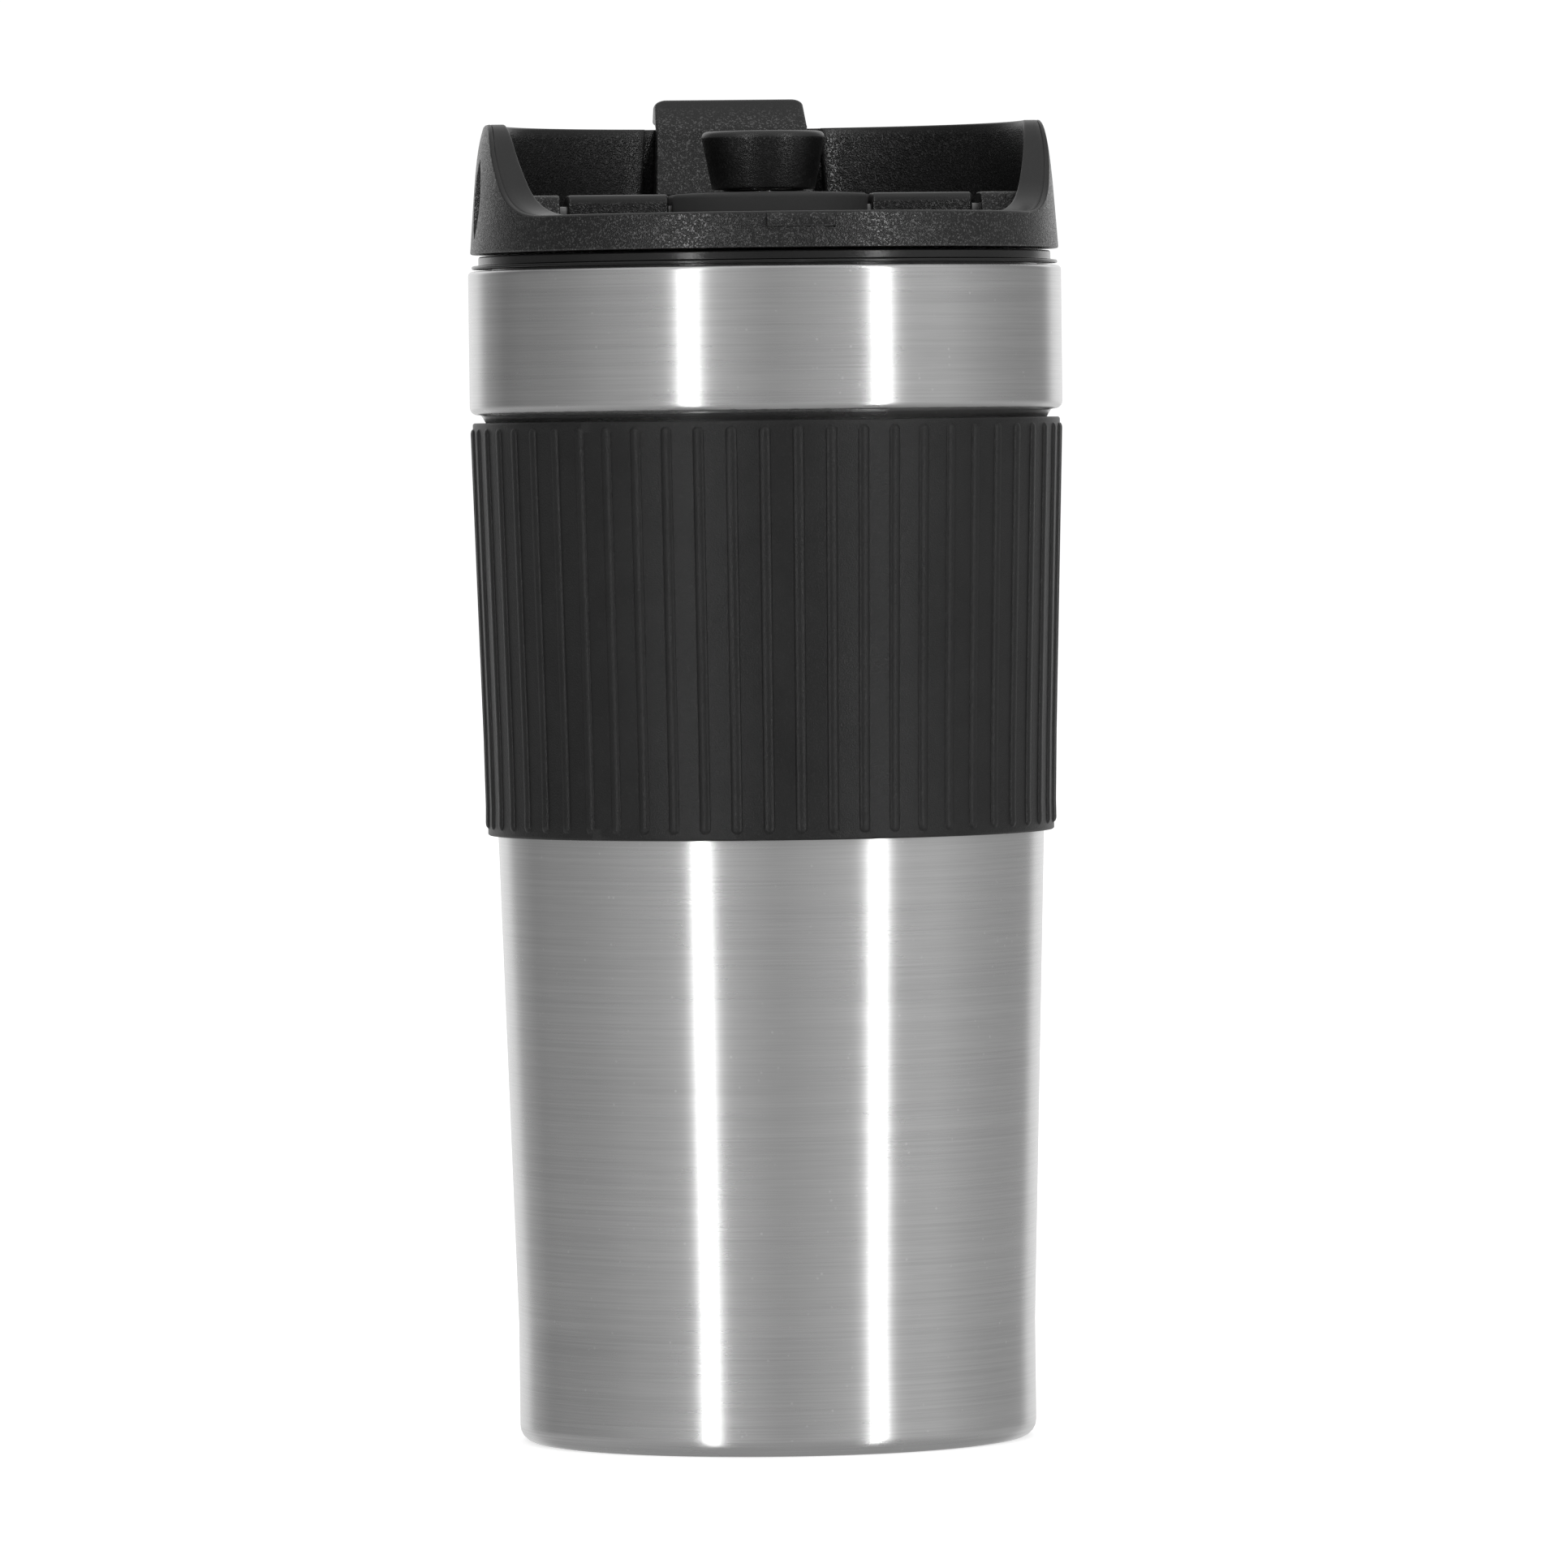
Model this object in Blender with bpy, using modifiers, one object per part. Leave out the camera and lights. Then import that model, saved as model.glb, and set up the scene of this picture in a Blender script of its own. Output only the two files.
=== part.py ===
"""Insulated travel mug with a built-in coffee press.

Metres, +Z up. The origin is at the centre of the foot, on the surface the mug stands on.
-Y is the front, the low side of the lid; +Y is the back, where the flap's thumb tab stands.
"""

import math

import bmesh
import bpy
from mathutils import Matrix, Vector

MM = 0.001

# ---- Clearances -------------------------------------------------------------------------
FIT_GAP = 0.3 * MM            # between pieces that touch
RUNNING_CLEARANCE = 0.05 * MM  # radial, between a pin or rod and the hole it turns or slides in
FREE_GAP = 0.5 * MM           # between a moving piece and what it passes

# ---- Steel body -------------------------------------------------------------------------
FOOT_RADIUS = 34.9 * MM
FOOT_CORNER = 2.2 * MM
FOOT_RIM_WIDTH = 0.7 * MM
BASE_RECESS = 2.6 * MM
DISH_FLAT_SHARE = 0.5          # of the base plate's radius, for the raised middle
DISH_EDGE_SHARE = 0.8          # and for the circle where the dish begins
STRAIGHT_HEIGHT = 16.0 * MM
GRIP_BOTTOM_Z = 82.0 * MM
GRIP_HEIGHT = 55.4 * MM
NECK_INSET = 1.5 * MM          # how far the neck's groove lies inside the band above it
GROOVE_HEIGHT = 1.2 * MM
BAND_HEIGHT = 19.4 * MM
BAND_RADIUS = 40.0 * MM
STEEL_WALL = 0.7 * MM
LINER_WALL = 0.6 * MM
VACUUM_GAP = 1.6 * MM
LINER_FLOOR_Z = 6.0 * MM
LINER_CORNER = 3.7 * MM

# ---- Ribbed grip sleeve -----------------------------------------------------------------
SLEEVE_WALL = 0.84 * MM
SLEEVE_FLARE = 0.25 * MM
SLEEVE_FLARE_HEIGHT = 6.0 * MM
RIB_COUNT = 56
RIB_WIDTH = 1.5 * MM
RIB_HEIGHT = 0.28 * MM
RIB_ROOT = 0.4 * MM
RIB_END_MARGIN_TOP = 0.6 * MM
RIB_END_MARGIN_BOTTOM = 0.9 * MM
RIB_PHASE = math.radians(-1.0)

# ---- Thread collar ----------------------------------------------------------------------
COLLAR_WALL = 2.0 * MM
COLLAR_RING_HEIGHT = 2.0 * MM
COLLAR_RING_INSET = 1.4 * MM
COLLAR_FLANGE_INSET = 0.5 * MM
COLLAR_FLANGE_HEIGHT = 0.45 * MM
COLLAR_DEPTH = 14.1 * MM
LEDGE_HEIGHT = 1.6 * MM
SHOULDER_RISE = 1.0 * MM
THREAD_LEAD = 6.0 * MM
THREAD_STARTS = 2
THREAD_SWEEP = math.radians(165.0)
THREAD_PHASE = math.radians(3.0)
THREAD_DEPTH = 1.0 * MM
THREAD_ROOT_HALF = 0.75 * MM
THREAD_CREST_HALF = 0.35 * MM
THREAD_ROOT_DEPTH = 0.2 * MM
THREAD_WALL_GAP = 1.2 * MM
COLLAR_THREAD_START = 5.3 * MM  # centre of the ridge's start, below the body's top

# ---- Lid --------------------------------------------------------------------------------
LID_WALL_HEIGHT = 17.4 * MM
LID_FOOT_INSET = 0.3 * MM
LID_DRAFT = 0.075
LID_SHOULDER_ROUND = 0.8 * MM
LID_SHOULDER_POWER = 6         # the higher, the nearer to the rim the rounding starts
LID_WALL = 4.5 * MM
LID_LIP_ROUND = 0.2 * MM
DECK_THICKNESS = 1.6 * MM
FRONT_RIM_HEIGHT = 4.8 * MM
SADDLE_FRONT_Y = -21.5 * MM
SADDLE_RADIUS = 13.0 * MM
SADDLE_SLOPE = math.radians(48.0)
INSERT_PLATE = 1.5 * MM
INSERT_SKIRT_WALL = 2.0 * MM
INSERT_SKIRT_LENGTH = 12.1 * MM
GUIDE_RADIUS = 5.0 * MM
GUIDE_LENGTH = 5.4 * MM
GASKET_HEIGHT = 1.8 * MM
GASKET_OVERHANG = 0.2 * MM
DRINK_HOLE_Y = 25.0 * MM
DRINK_HOLE_LENGTH = 15.0 * MM
DRINK_HOLE_WIDTH = 7.0 * MM
VENT_Y = -24.0 * MM
VENT_RADIUS = 1.1 * MM
SLIT_HEIGHT = 10.6 * MM
SLIT_WIDTH = 4.6 * MM
SLIT_DEPTH = 1.4 * MM
SLIT_RISE = 7.3 * MM
SLIT_Y = -2.0 * MM
LUG_WIDTH = 9.1 * MM
LUG_HEIGHT = 1.5 * MM
LUG_PROUD = 0.5 * MM
LUG_BELOW_RIM = 0.5 * MM

# ---- Hinge ------------------------------------------------------------------------------
HINGE_Y = -5.2 * MM
HINGE_ABOVE_DECK = 3.7 * MM
KNUCKLE_HALF = 2.4 * MM
KNUCKLE_ROUND = 0.9 * MM
KNUCKLE_INNER_X = 13.75 * MM
KNUCKLE_LENGTH = 13.65 * MM
KNUCKLE_SIDE_GAP = 1.1 * MM
PIN_RADIUS = 0.9 * MM
PIN_HOLD = 2.0 * MM
POST_DEPTH = 6.4 * MM

# ---- Boss, knob and plunger -------------------------------------------------------------
BOSS_RADIUS = 15.1 * MM
BOSS_EDGE_HEIGHT = 5.8 * MM
BOSS_DOME = 0.4 * MM
BOSS_EDGE_ROUND = 0.5 * MM
BOSS_NOTCH_X = 13.15 * MM
ROD_RADIUS = 2.0 * MM
SEAL_RADIUS = 4.6 * MM
SEAL_HEIGHT = 3.2 * MM
KNOB_BOTTOM_RADIUS = 6.95 * MM
KNOB_TOP_RADIUS = 8.45 * MM
KNOB_HEIGHT = 7.8 * MM
KNOB_EDGE = 0.5 * MM
KNOB_SOCKET = 5.5 * MM
FILTER_Z = 20.0 * MM
FILTER_SLIDE_GAP = 0.5 * MM
FILTER_PLATE = 1.0 * MM
FILTER_HOLES = 6
HOLE_RING_SHARE = 0.58         # of the plate's radius, where the holes' centres lie
HOLE_SHARE = 0.2               # of the plate's radius, for a hole's own radius
CROSS_PLATE_INSET = 3.5 * MM
CROSS_HUB_RADIUS = 4.5 * MM
CROSS_HUB_HEIGHT = 2.5 * MM
MESH_THICKNESS = 0.3 * MM
MESH_EDGE_HEIGHT = 2.7 * MM
SPRING_WIRE_RADIUS = 1.4 * MM
SPIRAL_PLATE_THICKNESS = 0.7 * MM
NUT_RADIUS = 4.5 * MM
NUT_HEIGHT = 3.5 * MM

# ---- Flap -------------------------------------------------------------------------------
FLAP_LIFT = 1.7 * MM          # underside of the plate above the deck
FLAP_PLATE = 2.8 * MM
SEAL_PAD_MARGIN = 2.0 * MM
SEAL_PAD_HEIGHT = 1.0 * MM
SEAL_PLUG_DEPTH = 1.0 * MM
TAB_BOTTOM_WIDTH = 22.4 * MM
TAB_TOP_WIDTH = 20.5 * MM
TAB_FRONT_Y = 30.0 * MM
TAB_LEAN = 4.4 * MM           # how far the front face leans back up to the rim
TAB_RISE = 4.1 * MM           # height above the lid's rim
TAB_TOP_LEAN = 2.8 * MM
TAB_TOP_THICKNESS = 2.6 * MM
TAB_OVERHANG_GAP = 0.6 * MM
RECESS_SIDE_GAP = 1.6 * MM
RECESS_SKIN = 0.75 * MM

# ---- Fineness of round pieces -----------------------------------------------------------
LARGE_STEPS = 48
MEDIUM_STEPS = 32
SMALL_STEPS = 16
WALL_LEVELS = 8                # rings of the lid's wall, closer together towards the rim
WALL_CROWDING = 1.5

# ---- Sizes that follow ------------------------------------------------------------------
GROOVE_Z = GRIP_BOTTOM_Z + GRIP_HEIGHT
NECK_RADIUS = BAND_RADIUS - NECK_INSET
BAND_Z = GROOVE_Z + GROOVE_HEIGHT
BODY_TOP_Z = BAND_Z + BAND_HEIGHT
LINER_RADIUS = FOOT_RADIUS - STEEL_WALL - VACUUM_GAP - LINER_WALL
MOUTH_RADIUS = BAND_RADIUS - STEEL_WALL - VACUUM_GAP - LINER_WALL
COLLAR_RADIUS = MOUTH_RADIUS - FIT_GAP
COLLAR_BORE = COLLAR_RADIUS - COLLAR_WALL
COLLAR_TOP_Z = BODY_TOP_Z + COLLAR_RING_HEIGHT
COLLAR_BOTTOM_Z = BODY_TOP_Z - COLLAR_DEPTH
LID_BOTTOM_Z = COLLAR_TOP_Z + FIT_GAP
DECK_Z = LID_BOTTOM_Z + DECK_THICKNESS
RIM_Z = LID_BOTTOM_Z + LID_WALL_HEIGHT
FRONT_RIM_Z = LID_BOTTOM_Z + FRONT_RIM_HEIGHT
LID_RADIUS = BAND_RADIUS - LID_FOOT_INSET
BOWL_RADIUS = LID_RADIUS - LID_WALL
HINGE_Z = DECK_Z + HINGE_ABOVE_DECK
BOSS_BOTTOM_Z = DECK_Z + FIT_GAP
BOSS_TOP_Z = BOSS_BOTTOM_Z + BOSS_EDGE_HEIGHT + BOSS_DOME
KNOB_Z = BOSS_TOP_Z + FIT_GAP
INSERT_TOP_Z = LID_BOTTOM_Z - FIT_GAP
SKIRT_RADIUS = COLLAR_BORE - THREAD_WALL_GAP - THREAD_ROOT_DEPTH
SKIRT_BOTTOM_Z = INSERT_TOP_Z - INSERT_SKIRT_LENGTH
FILTER_RADIUS = LINER_RADIUS - FILTER_SLIDE_GAP
KNUCKLE_OUTER_X = KNUCKLE_INNER_X + KNUCKLE_LENGTH
POST_INNER_X = KNUCKLE_OUTER_X + KNUCKLE_SIDE_GAP
PLATE_BOTTOM_Z = DECK_Z + FLAP_LIFT
PLATE_TOP_Z = PLATE_BOTTOM_Z + FLAP_PLATE
PLATE_RADIUS = BOWL_RADIUS - FREE_GAP


# ---- Scene, collections and materials ---------------------------------------------------

def clear_scene():
    """Remove every object of the open scene."""
    for item in list(bpy.data.objects):
        bpy.data.objects.remove(item, do_unlink=True)


def new_collection(name):
    """Make a collection under the scene's own."""
    collection = bpy.data.collections.new(name)
    bpy.context.scene.collection.children.link(collection)
    return collection


def new_material(name, colour, roughness, metallic=0.0):
    """Make a Principled material from a linear colour."""
    material = bpy.data.materials.new(name)
    material.use_nodes = True
    shader = material.node_tree.nodes["Principled BSDF"]
    shader.inputs["Base Color"].default_value = (*colour, 1.0)
    shader.inputs["Roughness"].default_value = roughness
    shader.inputs["Metallic"].default_value = metallic
    return material


clear_scene()
PARTS = new_collection("insulated_travel_mug")
CUTTERS = new_collection("cutters")

STEEL = new_material("brushed_steel", (0.46, 0.46, 0.46), 0.3, 1.0)
LINER_STEEL = new_material("liner_steel", (0.55, 0.55, 0.55), 0.35, 1.0)
BLACK_PLASTIC = new_material("black_plastic", (0.022, 0.022, 0.023), 0.5)
COLLAR_PLASTIC = new_material("collar_plastic", (0.015, 0.015, 0.016), 0.25)
KNOB_PLASTIC = new_material("knob_plastic", (0.012, 0.012, 0.013), 0.4)
GRIP_RUBBER = new_material("grip_rubber", (0.03, 0.03, 0.031), 0.7)
SEAL_SILICONE = new_material("seal_silicone", (0.12, 0.12, 0.12), 0.6)
PIN_STEEL = new_material("pin_steel", (0.5, 0.5, 0.5), 0.3, 1.0)


# ---- Building blocks --------------------------------------------------------------------

def add_object(name, mesh, material):
    """Put a mesh in the scene as a part, or as a cutter when it has no material."""
    item = bpy.data.objects.new(name, mesh)
    if material is None:
        CUTTERS.objects.link(item)
        item.hide_render = True
        item.display_type = "WIRE"
    else:
        PARTS.objects.link(item)
        mesh.materials.append(material)
    return item


def arc(centre, radius, start, end, points):
    """Points on an arc, from the start angle to the end angle."""
    step = (end - start) / (points - 1)
    return [
        (centre[0] + radius * math.cos(start + step * i), centre[1] + radius * math.sin(start + step * i))
        for i in range(points)
    ]


def turned(name, profile, material=None, steps=LARGE_STEPS, closed=True):
    """Turn a profile of (radius, height) points about Z with a Screw modifier.

    The outer side of the profile runs downwards. An open profile starts and ends on the axis.
    """
    mesh = bpy.data.meshes.new(name)
    edges = [(i, i + 1) for i in range(len(profile) - 1)]
    if closed:
        edges.append((len(profile) - 1, 0))
    mesh.from_pydata([(radius, 0.0, height) for radius, height in profile], edges, [])
    item = add_object(name, mesh, material)
    screw = item.modifiers.new("turn", "SCREW")
    screw.angle = 2.0 * math.pi
    screw.steps = steps
    screw.render_steps = steps
    screw.use_merge_vertices = True
    screw.merge_threshold = 0.00001
    screw.use_smooth_shade = True
    return item


def extruded(name, outline, half_depth, placement, material=None):
    """Extrude a flat outline both ways from its plane, then place it with a matrix."""
    curve = bpy.data.curves.new(name, "CURVE")
    curve.dimensions = "2D"
    curve.fill_mode = "BOTH"
    curve.extrude = half_depth
    spline = curve.splines.new("POLY")
    spline.points.add(len(outline) - 1)
    for point, (x, y) in zip(spline.points, outline):
        point.co = (x, y, 0.0, 1.0)
    spline.use_cyclic_u = True
    drawn = bpy.data.objects.new(name + "_curve", curve)
    CUTTERS.objects.link(drawn)
    graph = bpy.context.evaluated_depsgraph_get()
    mesh = bpy.data.meshes.new_from_object(drawn.evaluated_get(graph))
    bpy.data.objects.remove(drawn, do_unlink=True)
    mesh.name = name
    cleaned = bmesh.new()
    cleaned.from_mesh(mesh)
    bmesh.ops.remove_doubles(cleaned, verts=cleaned.verts, dist=0.000001)
    bmesh.ops.recalc_face_normals(cleaned, faces=cleaned.faces)
    cleaned.transform(placement)
    cleaned.to_mesh(mesh)
    cleaned.free()
    mesh.materials.clear()
    return add_object(name, mesh, material)


def box(name, low, high, material=None):
    """Make a box between two corners."""
    low, high = Vector(low), Vector(high)
    built = bmesh.new()
    bmesh.ops.create_cube(built, size=1.0)
    size = high - low
    built.transform(Matrix.Translation((low + high) / 2) @ Matrix.Diagonal((*size, 1.0)))
    mesh = bpy.data.meshes.new(name)
    built.to_mesh(mesh)
    built.free()
    return add_object(name, mesh, material)


def cylinders(name, places, radius, length, material=None, steps=SMALL_STEPS):
    """Make separate cylinders in one mesh, each placed by its own matrix."""
    built = bmesh.new()
    for place in places:
        bmesh.ops.create_cone(
            built, cap_ends=True, segments=steps, radius1=radius, radius2=radius, depth=length, matrix=place
        )
    mesh = bpy.data.meshes.new(name)
    built.to_mesh(mesh)
    built.free()
    item = add_object(name, mesh, material)
    return item


def combine(item, other, operation):
    """Add a Boolean of another object to an object."""
    modifier = item.modifiers.new(other.name, "BOOLEAN")
    modifier.operation = operation
    modifier.solver = "EXACT"
    modifier.object = other


def cut(item, cutter):
    """Cut another object's volume away."""
    combine(item, cutter, "DIFFERENCE")


def join(item, other):
    """Join another object's volume on."""
    combine(item, other, "UNION")


def along_x(x=0.0, y=0.0, z=0.0):
    """Placement that lays a cylinder's or extrusion's axis along X, its outline in Y and Z."""
    turn = Matrix(((0, 0, 1, 0), (1, 0, 0, 0), (0, 1, 0, 0), (0, 0, 0, 1)))
    return Matrix.Translation((x, y, z)) @ turn


def along_y(x=0.0, y=0.0, z=0.0):
    """Placement that lays an extrusion's axis along -Y, its outline in X and Z."""
    return Matrix.Translation((x, y, z)) @ Matrix.Rotation(math.pi / 2, 4, "X")


# ---- Steel body -------------------------------------------------------------------------

def cone_radius(height):
    """Radius of the steel wall's outside between the foot and the neck."""
    share = (height - STRAIGHT_HEIGHT) / (GROOVE_Z - STRAIGHT_HEIGHT)
    return FOOT_RADIUS + (NECK_RADIUS - FOOT_RADIUS) * max(share, 0.0)


def build_outer_shell():
    """Tapered wall, groove and wide band, turned in under the foot and at the mouth."""
    inner_corner = FOOT_CORNER - STEEL_WALL
    foot_flat = FOOT_RADIUS - FOOT_CORNER
    turn_in = foot_flat - FOOT_RIM_WIDTH
    lip = MOUTH_RADIUS + LINER_WALL + FIT_GAP
    band_inner = BAND_RADIUS - STEEL_WALL
    profile = [(lip, BODY_TOP_Z)]
    profile += arc((BAND_RADIUS - STEEL_WALL, BODY_TOP_Z - STEEL_WALL), STEEL_WALL, math.pi / 2, 0.0, 4)
    profile += arc((NECK_RADIUS, BAND_Z + NECK_INSET), NECK_INSET, 0.0, -math.pi / 2, 5)
    profile += [(NECK_RADIUS, GROOVE_Z), (FOOT_RADIUS, STRAIGHT_HEIGHT)]
    profile += arc((foot_flat, FOOT_CORNER), FOOT_CORNER, 0.0, -math.pi / 2, 6)
    profile += [(turn_in, 0.0), (turn_in, BASE_RECESS), (turn_in + STEEL_WALL, BASE_RECESS)]
    profile += arc((foot_flat, FOOT_CORNER), inner_corner, -math.pi / 2, 0.0, 4)
    profile += [
        (FOOT_RADIUS - STEEL_WALL, STRAIGHT_HEIGHT),
        (NECK_RADIUS - STEEL_WALL, GROOVE_Z),
        (NECK_RADIUS - STEEL_WALL, BAND_Z + STEEL_WALL),
        (band_inner, BAND_Z + NECK_INSET),
        (band_inner, BODY_TOP_Z - 2 * STEEL_WALL),
        (band_inner - STEEL_WALL / 2, BODY_TOP_Z - STEEL_WALL),
        (lip, BODY_TOP_Z - STEEL_WALL),
    ]
    return turned("outer_shell", profile, STEEL)


def build_inner_liner():
    """Straight cylinder with a rounded floor, widening at the top for the collar."""
    radius = LINER_RADIUS
    corner = (radius - LINER_CORNER, LINER_FLOOR_Z + LINER_CORNER)
    shoulder_z = COLLAR_BOTTOM_Z - FIT_GAP
    profile = [(0.0, LINER_FLOOR_Z)]
    profile += arc(corner, LINER_CORNER, -math.pi / 2, 0.0, 5)
    profile += [
        (radius, shoulder_z - SHOULDER_RISE),
        (radius + SHOULDER_RISE, shoulder_z),
        (MOUTH_RADIUS, shoulder_z),
        (MOUTH_RADIUS, BODY_TOP_Z),
        (MOUTH_RADIUS + LINER_WALL, BODY_TOP_Z),
        (MOUTH_RADIUS + LINER_WALL, shoulder_z - LINER_WALL),
        (radius + SHOULDER_RISE, shoulder_z - LINER_WALL),
        (radius + LINER_WALL, shoulder_z - SHOULDER_RISE - LINER_WALL / 2),
    ]
    profile += arc(corner, LINER_CORNER + LINER_WALL, 0.0, -math.pi / 2, 5)
    profile += [(0.0, LINER_FLOOR_Z - LINER_WALL)]
    return turned("inner_liner", profile, LINER_STEEL, closed=False)


def build_base_plate():
    """Disc that closes the foot, slightly dished upwards."""
    radius = FOOT_RADIUS - FOOT_CORNER - FOOT_RIM_WIDTH - FIT_GAP
    top = BASE_RECESS
    dish = STEEL_WALL
    profile = [
        (0.0, top + dish),
        (radius * DISH_FLAT_SHARE, top + dish),
        (radius * DISH_EDGE_SHARE, top),
        (radius, top),
        (radius, top - STEEL_WALL),
        (radius * DISH_EDGE_SHARE, top - STEEL_WALL),
        (radius * DISH_FLAT_SHARE, top),
        (0.0, top),
    ]
    return turned("base_plate", profile, STEEL, closed=False)


# ---- Grip -------------------------------------------------------------------------------

def sleeve_radius(height):
    """Outside of the sleeve between its ribs: it follows the wall and flares at its foot."""
    above = min(max(height - GRIP_BOTTOM_Z, 0.0), SLEEVE_FLARE_HEIGHT)
    flare = SLEEVE_FLARE * (1.0 - above / SLEEVE_FLARE_HEIGHT)
    return cone_radius(height) + FIT_GAP + SLEEVE_WALL + flare


def straight_rib(stations):
    """Mesh of one upright rib at +X, a bar whose rings sit at the given heights."""
    built = bmesh.new()
    bmesh.ops.create_cube(built, size=1.0)
    uprights = [edge for edge in built.edges if abs(edge.verts[0].co.z - edge.verts[1].co.z) > 0.5]
    bmesh.ops.subdivide_edges(built, edges=uprights, cuts=len(stations) - 2, use_grid_fill=True)
    for vert in built.verts:
        height = stations[round((vert.co.z + 0.5) * (len(stations) - 1))]
        reach = RIB_HEIGHT if vert.co.x > 0 else -RIB_ROOT
        vert.co = Vector((sleeve_radius(height) + reach, vert.co.y * RIB_WIDTH, height))
    mesh = bpy.data.meshes.new("rib")
    built.to_mesh(mesh)
    built.free()
    return mesh


def build_grip_sleeve():
    """Thin sleeve with upright ribs."""
    bottom, top = GRIP_BOTTOM_Z, GROOVE_Z
    edge = SLEEVE_WALL / 3
    profile = [
        (sleeve_radius(top) - edge, top),
        (sleeve_radius(top), top - edge),
        (sleeve_radius(bottom + SLEEVE_FLARE_HEIGHT), bottom + SLEEVE_FLARE_HEIGHT),
        (sleeve_radius(bottom + edge), bottom + edge),
        (sleeve_radius(bottom) - edge, bottom),
        (cone_radius(bottom) + FIT_GAP, bottom),
        (cone_radius(top) + FIT_GAP, top),
    ]
    sleeve = turned("grip_sleeve", profile, GRIP_RUBBER)
    stations = [bottom + RIB_END_MARGIN_BOTTOM, bottom + SLEEVE_FLARE_HEIGHT, top - RIB_END_MARGIN_TOP]
    rib = straight_rib(stations)
    built = bmesh.new()
    for index in range(RIB_COUNT):
        angle = RIB_PHASE - math.pi / 2 + index * 2.0 * math.pi / RIB_COUNT
        built.from_mesh(rib)
        fresh = built.verts[-len(rib.vertices):] if index else built.verts[:]
        bmesh.ops.rotate(built, verts=fresh, cent=(0.0, 0.0, 0.0), matrix=Matrix.Rotation(angle, 3, "Z"))
        built.verts.ensure_lookup_table()
    mesh = bpy.data.meshes.new("ribs")
    built.to_mesh(mesh)
    built.free()
    join(sleeve, add_object("ribs", mesh, None))
    return sleeve


# ---- Thread, collar, insert and gasket --------------------------------------------------

def thread_ridges(name, root, crest, start_z):
    """Helical ridges, one for each start, swept from a section by a spin that also climbs."""
    built = bmesh.new()
    steps = round(LARGE_STEPS * THREAD_SWEEP / (2.0 * math.pi))
    for start in range(THREAD_STARTS):
        section = [
            (root, -THREAD_ROOT_HALF),
            (crest, -THREAD_CREST_HALF),
            (crest, THREAD_CREST_HALF),
            (root, THREAD_ROOT_HALF),
        ]
        turn = Matrix.Rotation(THREAD_PHASE + start * 2.0 * math.pi / THREAD_STARTS, 4, "Z")
        verts = [built.verts.new(turn @ Vector((radius, 0.0, start_z + rise))) for radius, rise in section]
        face = built.faces.new(verts)
        climb = THREAD_LEAD * THREAD_SWEEP / (2.0 * math.pi) / steps
        bmesh.ops.spin(
            built,
            geom=[face, *face.edges, *face.verts],
            axis=(0.0, 0.0, 1.0),
            cent=(0.0, 0.0, 0.0),
            dvec=(0.0, 0.0, climb),
            angle=THREAD_SWEEP,
            steps=steps,
        )
    bmesh.ops.remove_doubles(built, verts=built.verts, dist=0.000001)
    bmesh.ops.recalc_face_normals(built, faces=built.faces)
    mesh = bpy.data.meshes.new(name)
    built.to_mesh(mesh)
    built.free()
    return add_object(name, mesh, None)


def build_thread_collar():
    """Collar in the mouth: visible ring and flange above, thread and gasket ledge below."""
    ring = BAND_RADIUS - COLLAR_RING_INSET
    flange = BAND_RADIUS - COLLAR_FLANGE_INSET
    seat = BODY_TOP_Z + FIT_GAP
    edge = COLLAR_FLANGE_HEIGHT / 2
    ledge = LINER_RADIUS + FIT_GAP
    profile = [
        (COLLAR_BORE, COLLAR_TOP_Z),
        (ring - edge, COLLAR_TOP_Z),
        (ring, COLLAR_TOP_Z - edge),
        (ring, seat + COLLAR_FLANGE_HEIGHT),
        (flange, seat + edge),
        (flange, seat),
        (COLLAR_RADIUS, seat),
        (COLLAR_RADIUS, COLLAR_BOTTOM_Z),
        (ledge, COLLAR_BOTTOM_Z),
        (ledge, COLLAR_BOTTOM_Z + LEDGE_HEIGHT),
        (COLLAR_BORE, COLLAR_BOTTOM_Z + LEDGE_HEIGHT),
    ]
    collar = turned("thread_collar", profile, COLLAR_PLASTIC)
    start_z = BODY_TOP_Z - COLLAR_THREAD_START
    join(collar, thread_ridges("collar_ridges", COLLAR_BORE + THREAD_ROOT_DEPTH, COLLAR_BORE - THREAD_DEPTH, start_z))
    return collar


def drink_hole(name, low, high, margin=0.0, material=None):
    """Rounded slot at the drinking hole, from one height to another, widened by a margin."""
    half_width = DRINK_HOLE_WIDTH / 2 + margin
    half_run = DRINK_HOLE_LENGTH / 2 - DRINK_HOLE_WIDTH / 2
    outline = arc((half_run, 0.0), half_width, -math.pi / 2, math.pi / 2, 9)
    outline += arc((-half_run, 0.0), half_width, math.pi / 2, 1.5 * math.pi, 9)
    place = Matrix.Translation((0.0, DRINK_HOLE_Y, (low + high) / 2))
    return extruded(name, outline, (high - low) / 2, place, material)


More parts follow.
